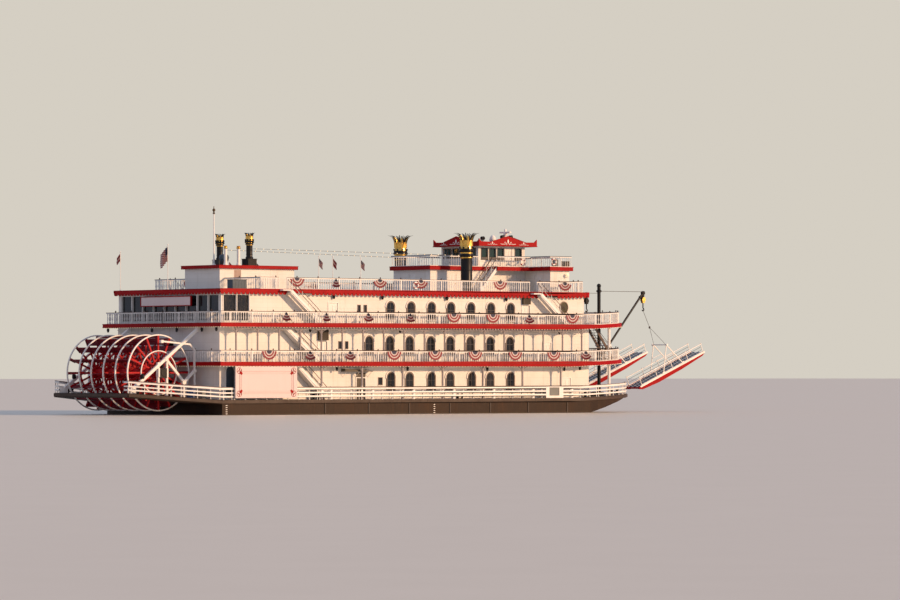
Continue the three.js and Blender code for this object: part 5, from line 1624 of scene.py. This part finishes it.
def coloured_windows():
    """Oval windows of coloured glass, with leads in two rings and four bars."""
    middle = 0.64
    turns = [2 * math.pi * i / 28 for i in range(28)]
    oval = [(0.57 * math.cos(turn), middle + 0.62 * math.sin(turn)) for turn in turns]

    def smaller(share):
        return [(u * share, middle + (v - middle) * share) for u, v in oval]

    rim = painted(board([oval, smaller(0.84)], 0.07), CASING)
    leads = [board([smaller(share), smaller(share - 0.06)], 0.03) for share in (0.62, 0.34)]
    for turn in (math.pi * i / 4 for i in range(4)):
        across, up = Vector((0.5 * math.cos(turn), 0.54 * math.sin(turn)))
        leads.append(rod((-across, middle - up, 0.018), (across, middle + up, 0.018), 0.014, 6))
    pane = painted(board([smaller(0.88)], 0.015), STAINED)
    window = joined([rim, pane, *all_painted(leads, SASH)])
    settle("coloured_windows", copies(window, on_both_walls([(44.32, 9.98)])), "boat")


def roof_lockers():
    case = block(2.55, 4.25, -7.95, -7.1, ROOF + 0.01, ROOF + 0.86)
    lid = block(2.5, 4.3, -8.0, -7.05, ROOF + 0.86, ROOF + 0.92)
    parts = [eased(joined([case, lid]), 0.02)]
    for i in range(8):
        parts.append(block(2.7 + 0.18 * i, 2.8 + 0.18 * i, -7.97, -7.95, ROOF + 0.15, ROOF + 0.75))
    settle("roof_lockers", all_painted(parts, BLUE_GREY), "boat")


def panelled_leaf(place):
    """A shut leaf with panels and a handle, placed on a wall."""
    parts = [painted(block(-0.49, 0.49, 0.0, 2.0, -0.04, 0.0), WHITE_TRIM), *door_trim(0.96, 1.98)]
    return [placed(part, place) for part in parts]


def roof_house_doors():
    """Shut leaves in the doorways of the roof's houses."""
    leaves = panelled_leaf(facing("aft", 31.24, 0.0, ROOF + lift(31.2) + 0.01))
    for side, s in SIDES:
        leaves += panelled_leaf(facing("aft", 43.79, s * 4.9, ROOF + lift(43.8) + 0.01))
        plain = painted(block(-0.42, 0.42, 0.0, 1.94, -0.03, 0.0), SHUTTER_TAN)
        leaves.append(placed(plain, facing(side, 7.055, s * 2.78, ROOF + 0.01)))
        for x in (33.6, 41.6):
            leaves += panelled_leaf(facing(side, x + 0.5, s * 2.86, ROOF + lift(x) + 0.01))
    settle("roof_house_doors", leaves, "boat")


def arched_shutters():
    """A tall arched shutter on each side of the main deck's aft end."""
    parts = []
    for side, s in SIDES:
        rim = painted(arch_band(1.14, 3.02, 0.96, 2.92, 0.0, 0.06), WHITE_TRIM)
        panel = painted(board([arch(0.98, 2.93)], 0.03), BLUE_GREY)
        slats = [block(-0.42, 0.42, 0.2 + 0.2 * i, 0.26 + 0.2 * i, 0.02, 0.05) for i in range(11)]
        place = facing(side, 2.03, s * (WALL_Y - 0.002), 1.72)
        parts += [placed(part, place) for part in (rim, panel, *all_painted(slats, BLUE_GREY))]
    settle("arched_shutters", parts, "boat")


def bow_ladders():
    """Open stairs between decks 2 and 3 at the bow."""
    top = Vector((49.8, 0, DECK_3 + lift(49.8) - SLAB - 0.02))
    foot = Vector((52.2, 0, DECK_2 + lift(52.2) + 0.1))
    steps = 12
    parts = []
    for _, s in SIDES:
        edges = [Vector((0, s * y, 0)) for y in (5.65, 6.85)]
        parts += [beam(top + edge, foot + edge, 0.08, 0.26) for edge in edges]
        for i in range(1, steps):
            x, _, z = top.lerp(foot, i / steps)
            parts.append(block(x - 0.12, x + 0.14, edges[0].y, edges[1].y, z - 0.02, z + 0.02))
        for edge in edges:
            parts.append(
                rod(top + edge + Vector((0.15, 0, 0)), foot + edge + Vector((0.15, 0, 0.85)), 0.025, 8)
            )
    settle("bow_ladders", all_painted(parts, RAIL_WOOD), "boat")


def lantern():
    """A small dark ceiling lantern that hangs from the origin."""
    cap = turned(0, 0, [(0.03, 0), (0.03, -0.1), (0.13, -0.13), (0.16, -0.17), (0.05, -0.18)], 10)
    glass = turned(0, 0, [(0.12, -0.18), (0.15, -0.32), (0.09, -0.42)], 10)
    foot = turned(0, 0, [(0.1, -0.42), (0.12, -0.45), (0.03, -0.5)], 10)
    return joined([painted(cap, BLACK), painted(glass, GLASS), painted(foot, BLACK)])


def lanterns():
    spots = [
        (x, s * 8.75, DECK_3 - SLAB) for x in (0.0, 11.3, 22.51, 28.15, 33.33, 35.81, 43.26)
        for _, s in SIDES
    ]
    spots += [(0.35, y, DECK_3 - SLAB) for y in (-6.0, -2.0, 2.0, 6.0)]
    spots += [(x, s * 8.75, DECK_2 - SLAB) for x in (14.6, 23.45, 33.7, 43.9, 46.01) for _, s in SIDES]
    spots += [(x, s * 8.4, ROOF - 0.35) for x in (14.51, 20.56, 28.77, 36.52) for _, s in SIDES]
    places = [shift(x, y, z + lift(x)) for x, y, z in spots]
    settle("lanterns", copies(lantern(), places), "boat")


# bridge deck and pilothouse

BRIDGE = 14.72
TEXAS_TOP = 14.45
PILOT_ENDS = (("aft", 37.5), ("fore", 43.7))
# side windows: aft jamb and width
PILOT_WINDOWS = ((37.9, 0.85), (38.98, 0.85), (40.06, 0.85), (42.35, 0.95))


def bridge_half(inset):
    """Half outline of the bridge deck."""
    aft, fore = 30.95 + inset, 46.55 - inset
    narrow, neck, gallery, broad = 3.15 - inset, 3.035 - inset, 4.15 - inset, 7.05 - inset
    return [
        (aft, narrow), (37.35 - inset, narrow), (37.35 - inset, neck), (39.0 + inset, neck),
        (39.0 + inset, gallery), (43.5 + inset, gallery), (43.5 + inset, broad), (fore, broad),
    ]


def at_bridge_stairs(x, y):
    """Where the bridge's rail is open: at the head of its stairs and beside the pilothouse."""
    gate = 38.8 < x < 39.4 and 3.2 < abs(y) < 4.1
    beside = 37.4 < x < 39.4 and abs(y) < 3.35
    return gate or beside


def bridge_trim():
    outer, inner = mirrored(bridge_half(-0.04)), mirrored(bridge_half(0.03))
    edge = placed(board([outer, inner], BRIDGE - TEXAS_TOP + 0.12), shift(0, 0, TEXAS_TOP - 0.1))
    bead = placed(board([mirrored(bridge_half(-0.07)), inner], 0.06), shift(0, 0, BRIDGE - 0.03))
    settle("bridge_edge_board", [painted(eased(joined([edge, bead]), 0.008), RED)], "boat")
    path = bridge_half(0.095)
    spots = [spot for spot in stations_round(path, 0.3, 0.15) if not at_bridge_stairs(*spot[:2])]
    places = [shift(x, y, BRIDGE + 0.08) @ Matrix.Rotation(turn, 4, "Z") for x, y, turn in spots]
    bars = copies(rod((0, 0, 0), (0, 0, 0.92), 0.022, 6), places)
    settle("bridge_rail_bars", all_painted(bars, WHITE_TRIM), "boat")
    rail = []
    for s in (1, -1):
        for stretch in (path[:3], path[4:]):
            points = [(x, s * y, BRIDGE + 1.08) for x, y in stretch]
            if stretch[0] == path[0]:
                points.insert(0, (path[0][0], 0, BRIDGE + 1.08))
            else:
                points.append((path[-1][0], 0, BRIDGE + 1.08))
            rail.append(painted(pipe(points, 0.04, 8), BLUE_GREY))
    settle("bridge_rail_cap", rail, "boat")


def life_ring(x, y, z, side):
    """A white ring with four red bands and a grab line, hung with its face outwards."""
    def arc(a0, a1, radius, steps):
        turns = [a0 + (a1 - a0) * i / steps for i in range(steps + 1)]
        return [(radius * math.cos(turn), radius * math.sin(turn), 0.08) for turn in turns]

    whole = arc(0, 2 * math.pi, 0.3, 28)[:-1]
    parts = [painted(pipe(whole, 0.075, 12, closed=True), WHITE_TRIM)]
    for k in range(4):
        middle = math.pi / 4 + math.pi / 2 * k
        parts.append(painted(pipe(arc(middle - 0.2, middle + 0.2, 0.3, 5), 0.079, 12), RED))
    parts.append(painted(pipe(arc(0, 2 * math.pi, 0.395, 20)[:-1], 0.01, 6, closed=True), WIRE))
    return [placed(part, facing(side, x, y, z)) for part in parts]


def bridge_gear():
    parts = []
    for side, s in SIDES:
        parts += life_ring(42.3, s * 4.17, 15.25, side)
        parts += life_ring(43.95, s * 7.02, 15.25, side)
        parts += life_ring(24.6, s * 8.53, 12.6, side)
        x, y, z = 44.67, s * 6.5, BRIDGE + 0.005
        drum = [(0.28, 0.0), (0.3, 0.04), (0.3, 0.36), (0.32, 0.38), (0.3, 0.4), (0.3, 0.76), (0.26, 0.8)]
        parts.append(painted(turned(x, y, raised(drum, z), 24), GREY))
        case = block(45.6, 46.25, s * 6.9, s * 6.4, z, z + 0.55)
        lid = block(45.56, 46.29, s * 6.94, s * 6.36, z + 0.55, z + 0.62)
        parts.append(painted(eased(joined([case, lid]), 0.02), OLIVE))
        lamp = ball((45.8, s * 7.08, 13.95), 0.17, 20, 12)
        arm = joined([
            rod((45.8, s * 6.8, 13.7), (45.8, s * 7.08, 13.72), 0.03, 8),
            rod((45.8, s * 7.08, 13.68), (45.8, s * 7.08, 13.8), 0.06, 12)
        ])
        parts += [painted(lamp, LAMP), painted(arm, WHITE_TRIM)]
        rail = pipe([(39.0, s * 3.28, 15.7), (36.75, s * 3.28, 13.0)], 0.03, 8)
        parts.append(painted(rail, RAIL_WOOD))
    settle("bridge_gear", parts, "boat")


def pilothouse_trim():
    """Window frames, a panelled dado and doors round the pilothouse."""
    parts = []
    frame_shape = board([rectangle(0.93, 1.22, -0.28), rectangle(0.81, 0.86, 0.01)], 0.05)
    places = [
        facing(side, x + width / 2, s * 2.9, 15.72) for x, width in PILOT_WINDOWS for side, s in SIDES
    ]
    parts += all_painted(copies(frame_shape, places), SASH)
    end_frame = joined([
        board([rectangle(1.2, 1.0, -0.06), rectangle(1.06, 0.86, 0.01)], 0.05),
        block(-0.02, 0.02, 0.0, 0.88, 0.0, 0.04)
    ])
    places = [facing(side, x, y, 15.72) for side, x in PILOT_ENDS for y in (-1.95, -0.65, 0.65, 1.95)]
    parts += all_painted(copies(end_frame, places), OAK)
    dado = board([rectangle(0.74, 0.5), rectangle(0.6, 0.36, 0.07)], 0.03)
    places = [facing(side, x, s * 2.9, 14.88) for x in (38.0, 38.95, 39.9, 40.8, 42.8) for side, s in SIDES]
    places += [
        facing(side, x, y, 14.88) for side, x in PILOT_ENDS for y in (-2.3, -1.4, -0.45, 0.45, 1.4, 2.3)
    ]
    parts += all_painted(copies(dado, places), WHITE_TRIM)
    leaf = joined([painted(board([rectangle(0.78, 1.84, 0.02)], 0.04), WHITE_TRIM),
                   *[placed(part, shift(0, 0, 0.04)) for part in door_trim(0.74, 1.8)]])
    parts += copies(leaf, [facing(side, 41.6, s * 2.8, BRIDGE + 0.01) for side, s in SIDES])
    settle("pilothouse_trim", parts, "boat")


def scroll_flourish(reach):
    """White scrollwork, drawn flat: two curls that meet in the middle and a leaf over them."""
    parts = []
    for k in (-1, 1):
        curl = []
        for t in (i / 18 for i in range(19)):
            across = 0.12 + reach * t - 0.16 * t * math.sin(6.5 * t)
            up = 0.1 + 0.1 * math.sin(3.4 * t) + 0.09 * t * math.cos(6.5 * t)
            curl.append((k * across, up, 0))
        tail = [(k * (0.2 + 0.3 * t), 0.18 + 0.2 * math.sin(2.6 * t), 0) for t in (i / 8 for i in range(9))]
        parts += [pipe(curl, 0.03, 6), pipe(tail, 0.026, 6)]
    leaf = board([[(0, 0.72), (-0.1, 0.5), (-0.06, 0.3), (0, 0.16), (0.06, 0.3), (0.1, 0.5)]], 0.03)
    return joined([*parts, placed(leaf, shift(0, 0, -0.015))])


def pilothouse_roof_trim():
    x0, x1, half, low = 37.0, 44.75, 3.6, 16.85
    spots = [(side, (x0 + x1) / 2, s * half) for side, s in SIDES] + [("aft", x0, 0), ("fore", x1, 0)]
    parts = []
    for side, x, y in spots:
        across = (x1 - x0) if side in ("starboard", "port") else 2 * half
        for k in (0.0, -0.27, 0.27):
            shape = scroll_flourish(across * 0.12)
            size = 1.0 if k == 0 else 0.62
            along = shift(k * across, 0.05, 0) @ Matrix.Diagonal((size, size * 0.95, 1, 1))
            parts.append(placed(shape, facing(side, x, y, low) @ along))
    scrolls = all_painted(parts, WHITE_TRIM)
    edge = mirrored([(x0 - 0.05, half + 0.05), (x1 + 0.05, half + 0.05)])
    hole = mirrored([(x0 + 0.03, half - 0.03), (x1 - 0.03, half - 0.03)])
    lip = placed(board([edge, hole], 0.07), shift(0, 0, low - 0.02))
    scrolls.append(painted(eased(lip, 0.01), RED))
    settle("roof_scrollwork", scrolls, "boat")
    top = low + 0.2
    aerial = [(0.16, top), (0.16, top + 0.1), (0.11, top + 0.16), (0.11, 18.72), (0.04, 18.76)]
    gear = [turned(43.6, 0, aerial, 16)]
    gear.append(block(43.48, 43.72, -0.8, 0.8, 18.3, 18.46))
    gear.append(rod((43.6, 0, 18.1), (43.6, 0, 18.3), 0.2, 16))
    dome = [(0.5, 0.0), (0.45, 0.3), (0.9, 0.36), (1.0, 0.55), (0.8, 0.8), (0.35, 0.94)]
    for x, y, r in ((40.2, -2.0, 0.3), (41.9, 0.0, 0.36)):
        gear.append(turned(x, y, [(r * share, top + rise) for share, rise in dome], 20))
    settle("roof_aerials", [painted(eased(part, 0.01), WHITE_TRIM) for part in gear], "boat")
    lamps = []
    for x, y in ((41.3, -2.2), (42.4, -2.2), (42.4, 2.2)):
        stem = [
            rod((x, y, top - 0.02), (x, y, top + 0.52), 0.035, 8),
            block(x - 0.04, x + 0.04, y - 0.2, y + 0.2, top + 0.5, top + 0.56)
        ]
        drum = rod((x - 0.16, y, top + 0.76), (x + 0.2, y, top + 0.79), 0.19, 20)
        lamps.append(painted(eased(joined([*stem, drum]), 0.01), BLACK))
        lamps.append(painted(rod((x + 0.2, y, top + 0.79), (x + 0.22, y, top + 0.792), 0.17, 20), LAMP))
    settle("roof_searchlights", lamps, "boat")


# bow gear

MAST_X, MAST_Y = 52.5, 4.4
# the hook under a boom's tip: x and z from the tip
BOOM_HOOK = ((0, -1.0), (0, -1.55), (0.12, -1.68), (0.1, -1.82), (-0.04, -1.86), (-0.12, -1.76))
BOOM_TIP = Vector((58.62, 0, 12.31))
STAGE_FOOT = Vector((57.08, 0, 2.46))
A_FRAME_X = 5.3
STAGE_SLOPE = math.radians(21.9)


def bow_rigging():
    for side, s in SIDES:
        y = s * MAST_Y
        tip = Vector((BOOM_TIP.x, y, BOOM_TIP.z))
        head = (MAST_X, y, 12.42)
        wires = [rod(head, tip + Vector((0, dy, 0.12)), 0.022, 6) for dy in (-0.1, 0.1)]
        collar = turned(MAST_X, y, [(0.2, 12.3), (0.27, 12.34), (0.27, 12.5), (0.2, 12.54)], 20)
        heel = [
            turned(MAST_X, y, [(0.2, z), (0.25, z + 0.02), (0.25, z + 0.14), (0.2, z + 0.16)], 20)
            for z in (5.45, 5.85)
        ]
        cheeks = [
            rod((tip.x, y + dy, tip.z - 0.72), (tip.x, y + dy + 0.05, tip.z - 0.72), 0.24, 24)
            for dy in (-0.17, 0.12)
        ]
        cheeks += [
            block(tip.x - 0.15, tip.x + 0.15, y + dy, y + dy + 0.04, tip.z - 1.05, tip.z - 0.45)
            for dy in (-0.16, 0.12)
        ]
        hook = pipe([(tip.x + dx, y, tip.z + dz) for dx, dz in BOOM_HOOK], 0.06, 8)
        bands = []
        start = Vector((MAST_X + 0.34, y, 5.72))
        for share in (0.06, 0.93):
            a, b = start.lerp(tip, share - 0.006), start.lerp(tip, share + 0.006)
            bands.append(rod(a, b, 0.16, 16))
        parts = all_painted(wires, WIRE) + all_painted([collar, *heel, hook, *bands], BLACK)
        parts += [painted(eased(part, 0.01), GOLD if s < 0 else BLACK) for part in cheeks]
        settle(f"boom_rigging_{side}", parts, f"derrick_{side}")
        stay = rod((MAST_X, y, 12.2), (47.75, y, 12.22), 0.02, 6)
        settle(f"mast_stay_{side}", [painted(stay, WIRE)], "boat")
        slope = shift(STAGE_FOOT.x, y, STAGE_FOOT.z) @ Matrix.Rotation(-STAGE_SLOPE, 4, "Y")
        eyes = [slope @ Vector((A_FRAME_X, k * 0.9, 2.74)) for k in (-1, 1)]
        foot = (eyes[0] + eyes[1]) / 2
        low_hook = Vector((tip.x, y, tip.z - 1.8))
        apex = low_hook.lerp(foot, 0.5) - Vector((0.25, 0, 0))
        ring_profile = raised([(0.05, -0.12), (0.1, -0.06), (0.1, 0.06), (0.05, 0.12)], apex.z)
        ring = turned(apex.x, apex.y, ring_profile, 12)
        falls = [rod(low_hook, apex, 0.022, 6), *[rod(apex, eye, 0.018, 6) for eye in eyes], ring]
        falls = all_painted(falls, WIRE)
        piece = settle(f"stage_fall_{side}", falls, None)
        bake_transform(piece)
        stage_dress(side, slope)


def stage_dress(side, slope):
    """Side boards, rails, planks and treads of a landing stage, with x along it from its foot."""
    length, half = 10.07, 1.05
    white, red, grey = [], [], []
    for k in (-1, 1):
        y = k * (half + 0.015)
        white.append(block(0.25, length - 0.02, y - 0.015, y + 0.015, -0.06, 0.12))
        for z in (0.36, 0.68):
            grey.append(rod((0.55, k * (half - 0.06), z), (length - 0.15, k * (half - 0.06), z), 0.02, 8))
        for x in (0.55, 2.88, 5.21, 7.54, 9.87):
            white.append(block(x - 0.05, x + 0.05, y - 0.02, y + 0.03, -0.04, 0.16))
            white.append(ball((x, k * (half - 0.06), 1.04), 0.06, 10, 8))
        for x in (A_FRAME_X - 1.45, A_FRAME_X + 1.45):
            white.append(block(x - 0.14, x + 0.14, y - 0.02, y + 0.03, 0.02, 0.26))
        white.append(rod((A_FRAME_X, k * half, 2.7), (A_FRAME_X, k * (half + 0.1), 2.7), 0.12, 14))
        bar_y = k * (half - 0.06)
        white.append(rod((A_FRAME_X - 0.73, bar_y, 1.42), (A_FRAME_X + 0.73, bar_y, 1.42), 0.03, 8))
        red.append(rod((0.08, k * 1.14, -0.03), (0.08, k * 1.2, -0.03), 0.13, 16))
    for i in range(6):
        plank = -0.83 + 0.332 * i
        (white if i % 2 else grey).append(
            block(0.2, length - 0.06, plank - 0.155, plank + 0.155, 0.012, 0.04)
        )
    for i in range(24):
        x = 0.42 + 0.4 * i
        grey.append(block(x - 0.03, x + 0.03, -0.8, 0.8, 0.035, 0.07))
    for i in range(6):
        x = 0.9 + 1.65 * i
        deep = 0.2 + 0.22 * math.sin(math.pi * min(1, (x + 0.6) / 8.5))
        red.append(block(x - 0.05, x + 0.05, -0.92, 0.92, -deep, -0.05))
    parts = all_painted(white, WHITE_TRIM) + all_painted(red, RED) + all_painted(grey, BLUE_GREY)
    settle(
        f"stage_fittings_{side}", [placed(part, slope) for part in parts], f"landing_stage_{side}",
    )


# flags and bunting

FAN_RADIUS = 0.88
FAN_PLEATS = 9
# fans on each rail: deck, distance of the cap's face from the centreline, cap height, and each fan's x
# with how far it is open
FANS = (
    (DECK_2, 9.33, 1.14, (
        (5.87, 0.95), (10.85, 0.5), (15.77, 0.55), (21.27, 0.95), (26.48, 0.95), (31.63, 0.95), (36.86, 0.95),
        (41.98, 0.95), (46.3, 0.6),
    )),
    (DECK_3, 9.33, 1.14, (
        (7.95, 0.4), (12.83, 0.35), (18.04, 0.5), (23.32, 0.4), (28.88, 0.95), (33.94, 0.95), (38.74, 0.5),
        (44.49, 0.95),
    )),
    (
        ROOF, 8.54, 1.17,
        ((9.85, 0.9), (14.64, 0.35), (20.12, 0.8), (25.31, 0.8), (35.54, 0.9), (44.18, 0.8))
    ),
)


CLOTH_THICKNESS = 0.006


def shaped(part, move):
    """Moves each point of a part by a function of its place."""
    for vertex in part.data.vertices:
        vertex.co = move(*vertex.co)
    return part


def cloth_grid(columns, rows):
    bpy.ops.mesh.primitive_grid_add(x_subdivisions=columns, y_subdivisions=rows, size=1, location=(0, 0, 0))
    return bpy.context.object


def thickened(part, thickness):
    select([part])
    solid = part.modifiers.new("thick", "SOLIDIFY")
    solid.thickness = thickness
    solid.offset = 0
    bpy.ops.object.modifier_apply(modifier="thick")
    return part


def fan(share):
    """A pleated half-round of cloth hung by its straight edge. Part closed, its pleats keep its length."""
    columns = FAN_PLEATS * 4
    rise_share = math.pi / (2 * FAN_PLEATS) * math.sqrt(1 - share * share)

    def move(u, v, _):
        radius = FAN_RADIUS * (0.06 + 0.94 * (v + 0.5))
        turn = math.pi / 2 + math.pi * share * u
        step = (u + 0.5) * columns / 2
        fold = 1 - abs(step % 2 - 1)
        out = 0.012 + radius * rise_share * fold
        return (-radius * math.cos(turn), -radius * math.sin(turn), out)

    return thickened(shaped(cloth_grid(columns, 7), move), CLOTH_THICKNESS)


def bunting():
    count = 0
    for deck, y, cap, fans in FANS:
        for x, share in fans:
            for side, s in SIDES:
                count += 1
                place = facing(side, x, s * y, deck + lift(x) + cap)
                cloth = placed(fan(share), place)
                piece = settle(
                    f"bunting_{count:02d}", [painted(cloth, BUNTING)], "boat", smooth=60
                )


# flagpoles: name, x, y, foot, top, hoist, fly (below nothing where it blows aft), how far it droops, finish
FLAGS = (
    ("stern_ensign", 0.75, 0.0, ROOF, 16.3, 1.35, -2.1, 0.8, "ensign"),
    ("port_quarter_flag", 0.85, 7.9, ROOF, 15.75, 0.7, -1.0, 0.4, "pennant"),
    ("rail_flag_1", 12.7, -8.3, ROOF, 15.2, 0.7, 1.1, 0.4, "ensign"),
    ("rail_flag_2", 14.43, -8.3, ROOF, 15.2, 0.7, 1.1, 0.4, "pennant"),
    ("rail_flag_3", 17.91, -8.3, ROOF, 15.1, 0.7, 1.1, 0.35, "ensign"),
    ("rail_flag_4", 12.7, 8.3, ROOF, 15.2, 0.7, 1.1, 0.4, "ensign"),
    ("rail_flag_5", 14.43, 8.3, ROOF, 15.2, 0.7, 1.1, 0.4, "pennant"),
    ("rail_flag_6", 17.91, 8.3, ROOF, 15.1, 0.7, 1.1, 0.35, "ensign"),
)
# how much of its fly a limp flag spans along the pole's side
FLAG_OPEN = 0.36
# lamps on each light string
LAMPS = 30


def limp_flag(hoist, fly, droop):
    """A flag that hangs in folds beside its pole, from the origin forward and down."""
    folds = 4

    def move(u, v, _):
        along = u + 0.5
        step = along * folds * 2
        fold = 1 - abs(step % 2 - 1)
        rise = fly / (2 * folds) * math.sqrt(1 - FLAG_OPEN * FLAG_OPEN)
        wave = 0.03 * math.sin(7 * (v + 0.5) + 5 * along)
        return (
            along * fly * FLAG_OPEN, rise * (fold - 0.5) + wave * along, (v - 0.5) * hoist - droop * along
        )

    return thickened(shaped(cloth_grid(folds * 6, 8), move), CLOTH_THICKNESS)


def light_strings():
    """Taut wires with small lamps, from the aft funnels to the forward funnels."""
    parts = []
    for _, s in SIDES:
        start, end = Vector((9.2, s * 2.45, 16.05)), Vector((33.45, s * 5.15, 15.75))
        parts.append(painted(rod(start, end, 0.016, 6), WIRE))
        bulb = ball((0, 0, 0), 0.045, 8, 6)
        places = [Matrix.Translation(start.lerp(end, (i + 0.5) / LAMPS)) for i in range(LAMPS)]
        parts += all_painted(copies(bulb, places), LAMP)
    settle("light_strings", parts, "boat")


def flags():
    for name, x, y, foot, top, hoist, fly, droop, finish in FLAGS:
        base = foot + lift(x) + 0.004
        pole = raised([(0.09, 0.0), (0.09, 0.06), (0.035, 0.12)], base)
        pole += raised([(0.03, 0.0), (0.06, 0.03), (0.06, 0.1), (0.02, 0.14)], top)
        settle(f"{name}_pole", [painted(turned(x, y, pole, 12), WHITE_TRIM)], "boat")
        cloth = placed(limp_flag(hoist, fly, droop), shift(x + math.copysign(0.035, fly), y, top - 0.12))
        piece = settle(
            name, [painted(cloth, ENSIGN if finish == "ensign" else PENNANT)], "boat",
            smooth=60
        )


# ground, light and camera

FLOOR_SIZE = 3200
SUN_ELEVATION = math.radians(17)
SUN_BEARING = (0.48, -0.87)
CAMERA_PLACE = (-259.8, -352.77, 3.81)
CAMERA_BEARING = math.radians(40)
CAMERA_PITCH = math.radians(0.944)


def ground():
    bpy.ops.mesh.primitive_plane_add(size=FLOOR_SIZE, location=(0, 0, WATER_LEVEL))
    floor = bpy.context.object
    floor.name = "floor"
    finish, tree, shader = new_finish("pale floor", 0.45)
    grain = noise(tree, object_point(tree), 0.6, 3.0)
    shade = blended(tree, grain, (0.66, 0.62, 0.52, 1), (0.70, 0.66, 0.56, 1))
    tree.links.new(shade, shader.inputs["Base Color"])
    floor.data.materials.append(finish)


def sky():
    """Cool light from all round, seen by the camera as a plain warm backdrop."""
    world = bpy.data.worlds.new("studio")
    world.use_nodes = True
    bpy.context.scene.world = world
    tree = world.node_tree
    background = tree.nodes["Background"]
    background.inputs["Color"].default_value = (0.66, 0.72, 0.92, 1)
    background.inputs["Strength"].default_value = 0.6
    seen = tree.nodes.new("ShaderNodeBackground")
    seen.inputs["Color"].default_value = (0.70, 0.655, 0.575, 1)
    seen.inputs["Strength"].default_value = 0.95
    path = tree.nodes.new("ShaderNodeLightPath")
    mix = tree.nodes.new("ShaderNodeMixShader")
    tree.links.new(path.outputs["Is Camera Ray"], mix.inputs[0])
    tree.links.new(background.outputs[0], mix.inputs[1])
    tree.links.new(seen.outputs[0], mix.inputs[2])
    tree.links.new(mix.outputs[0], tree.nodes["World Output"].inputs["Surface"])


def sun():
    """A low warm sun behind the camera's left shoulder."""
    low_sun = bpy.data.lights.new("low sun", "SUN")
    low_sun.energy = 3.9
    low_sun.color = (1.0, 0.64, 0.37)
    low_sun.angle = math.radians(4)
    lamp = bpy.data.objects.new("low sun", low_sun)
    bpy.context.collection.objects.link(lamp)
    plan = Vector(SUN_BEARING).normalized() * math.cos(SUN_ELEVATION)
    toward = Vector((plan.x, plan.y, math.sin(SUN_ELEVATION)))
    lamp.rotation_euler = toward.to_track_quat("Z", "Y").to_euler()


def camera():
    lens = bpy.data.cameras.new("camera")
    lens.sensor_width = 36
    lens.lens = 182
    lens.clip_end = 5000
    eye = bpy.data.objects.new("camera", lens)
    bpy.context.collection.objects.link(eye)
    eye.location = HALVE @ Vector(CAMERA_PLACE)
    ahead = Vector((math.sin(CAMERA_BEARING), math.cos(CAMERA_BEARING), math.tan(CAMERA_PITCH)))
    eye.rotation_euler = ahead.to_track_quat("-Z", "Y").to_euler()
    bpy.context.scene.camera = eye


bpy.context.scene.view_settings.view_transform = "Standard"
bpy.ops.object.select_all(action="DESELECT")
camera()
ground()
sky()
sun()
paint_nodes()
turned_rail("deck_2_rail", DECK_PLAN, RAIL_INSET, DECK_2, 0.08)
turned_rail("deck_3_rail", DECK_PLAN, RAIL_INSET, DECK_3, 0.08)
turned_rail("hurricane_rail", ROOF_RAIL_PLAN, 0.0, ROOF, 0.1,
            keep=lambda x, y: not (x < 7 and abs(y) < 2.9) and not 7.6 < x < 8.8 and not 39.4 < x < 40.6)
timber_cap("deck_2_rail_cap", DECK_2)
timber_cap("deck_3_rail_cap", DECK_3)
hurricane_cap()
main_rail()
paddle_wheel()
funnels()
edge_boards()
valances()
deck_posts()
windows()
hull_trim()
bitts()
deck_gear()
truss_fittings()
stairs()
lounge_trim()
sign_borders()
aft_house_top()
wall_doors()
wall_fittings()
door_canopies()
coloured_windows()
roof_lockers()
roof_house_doors()
arched_shutters()
bow_ladders()
lanterns()
bridge_trim()
bridge_gear()
pilothouse_trim()
pilothouse_roof_trim()
bow_rigging()
bunting()
light_strings()
flags()
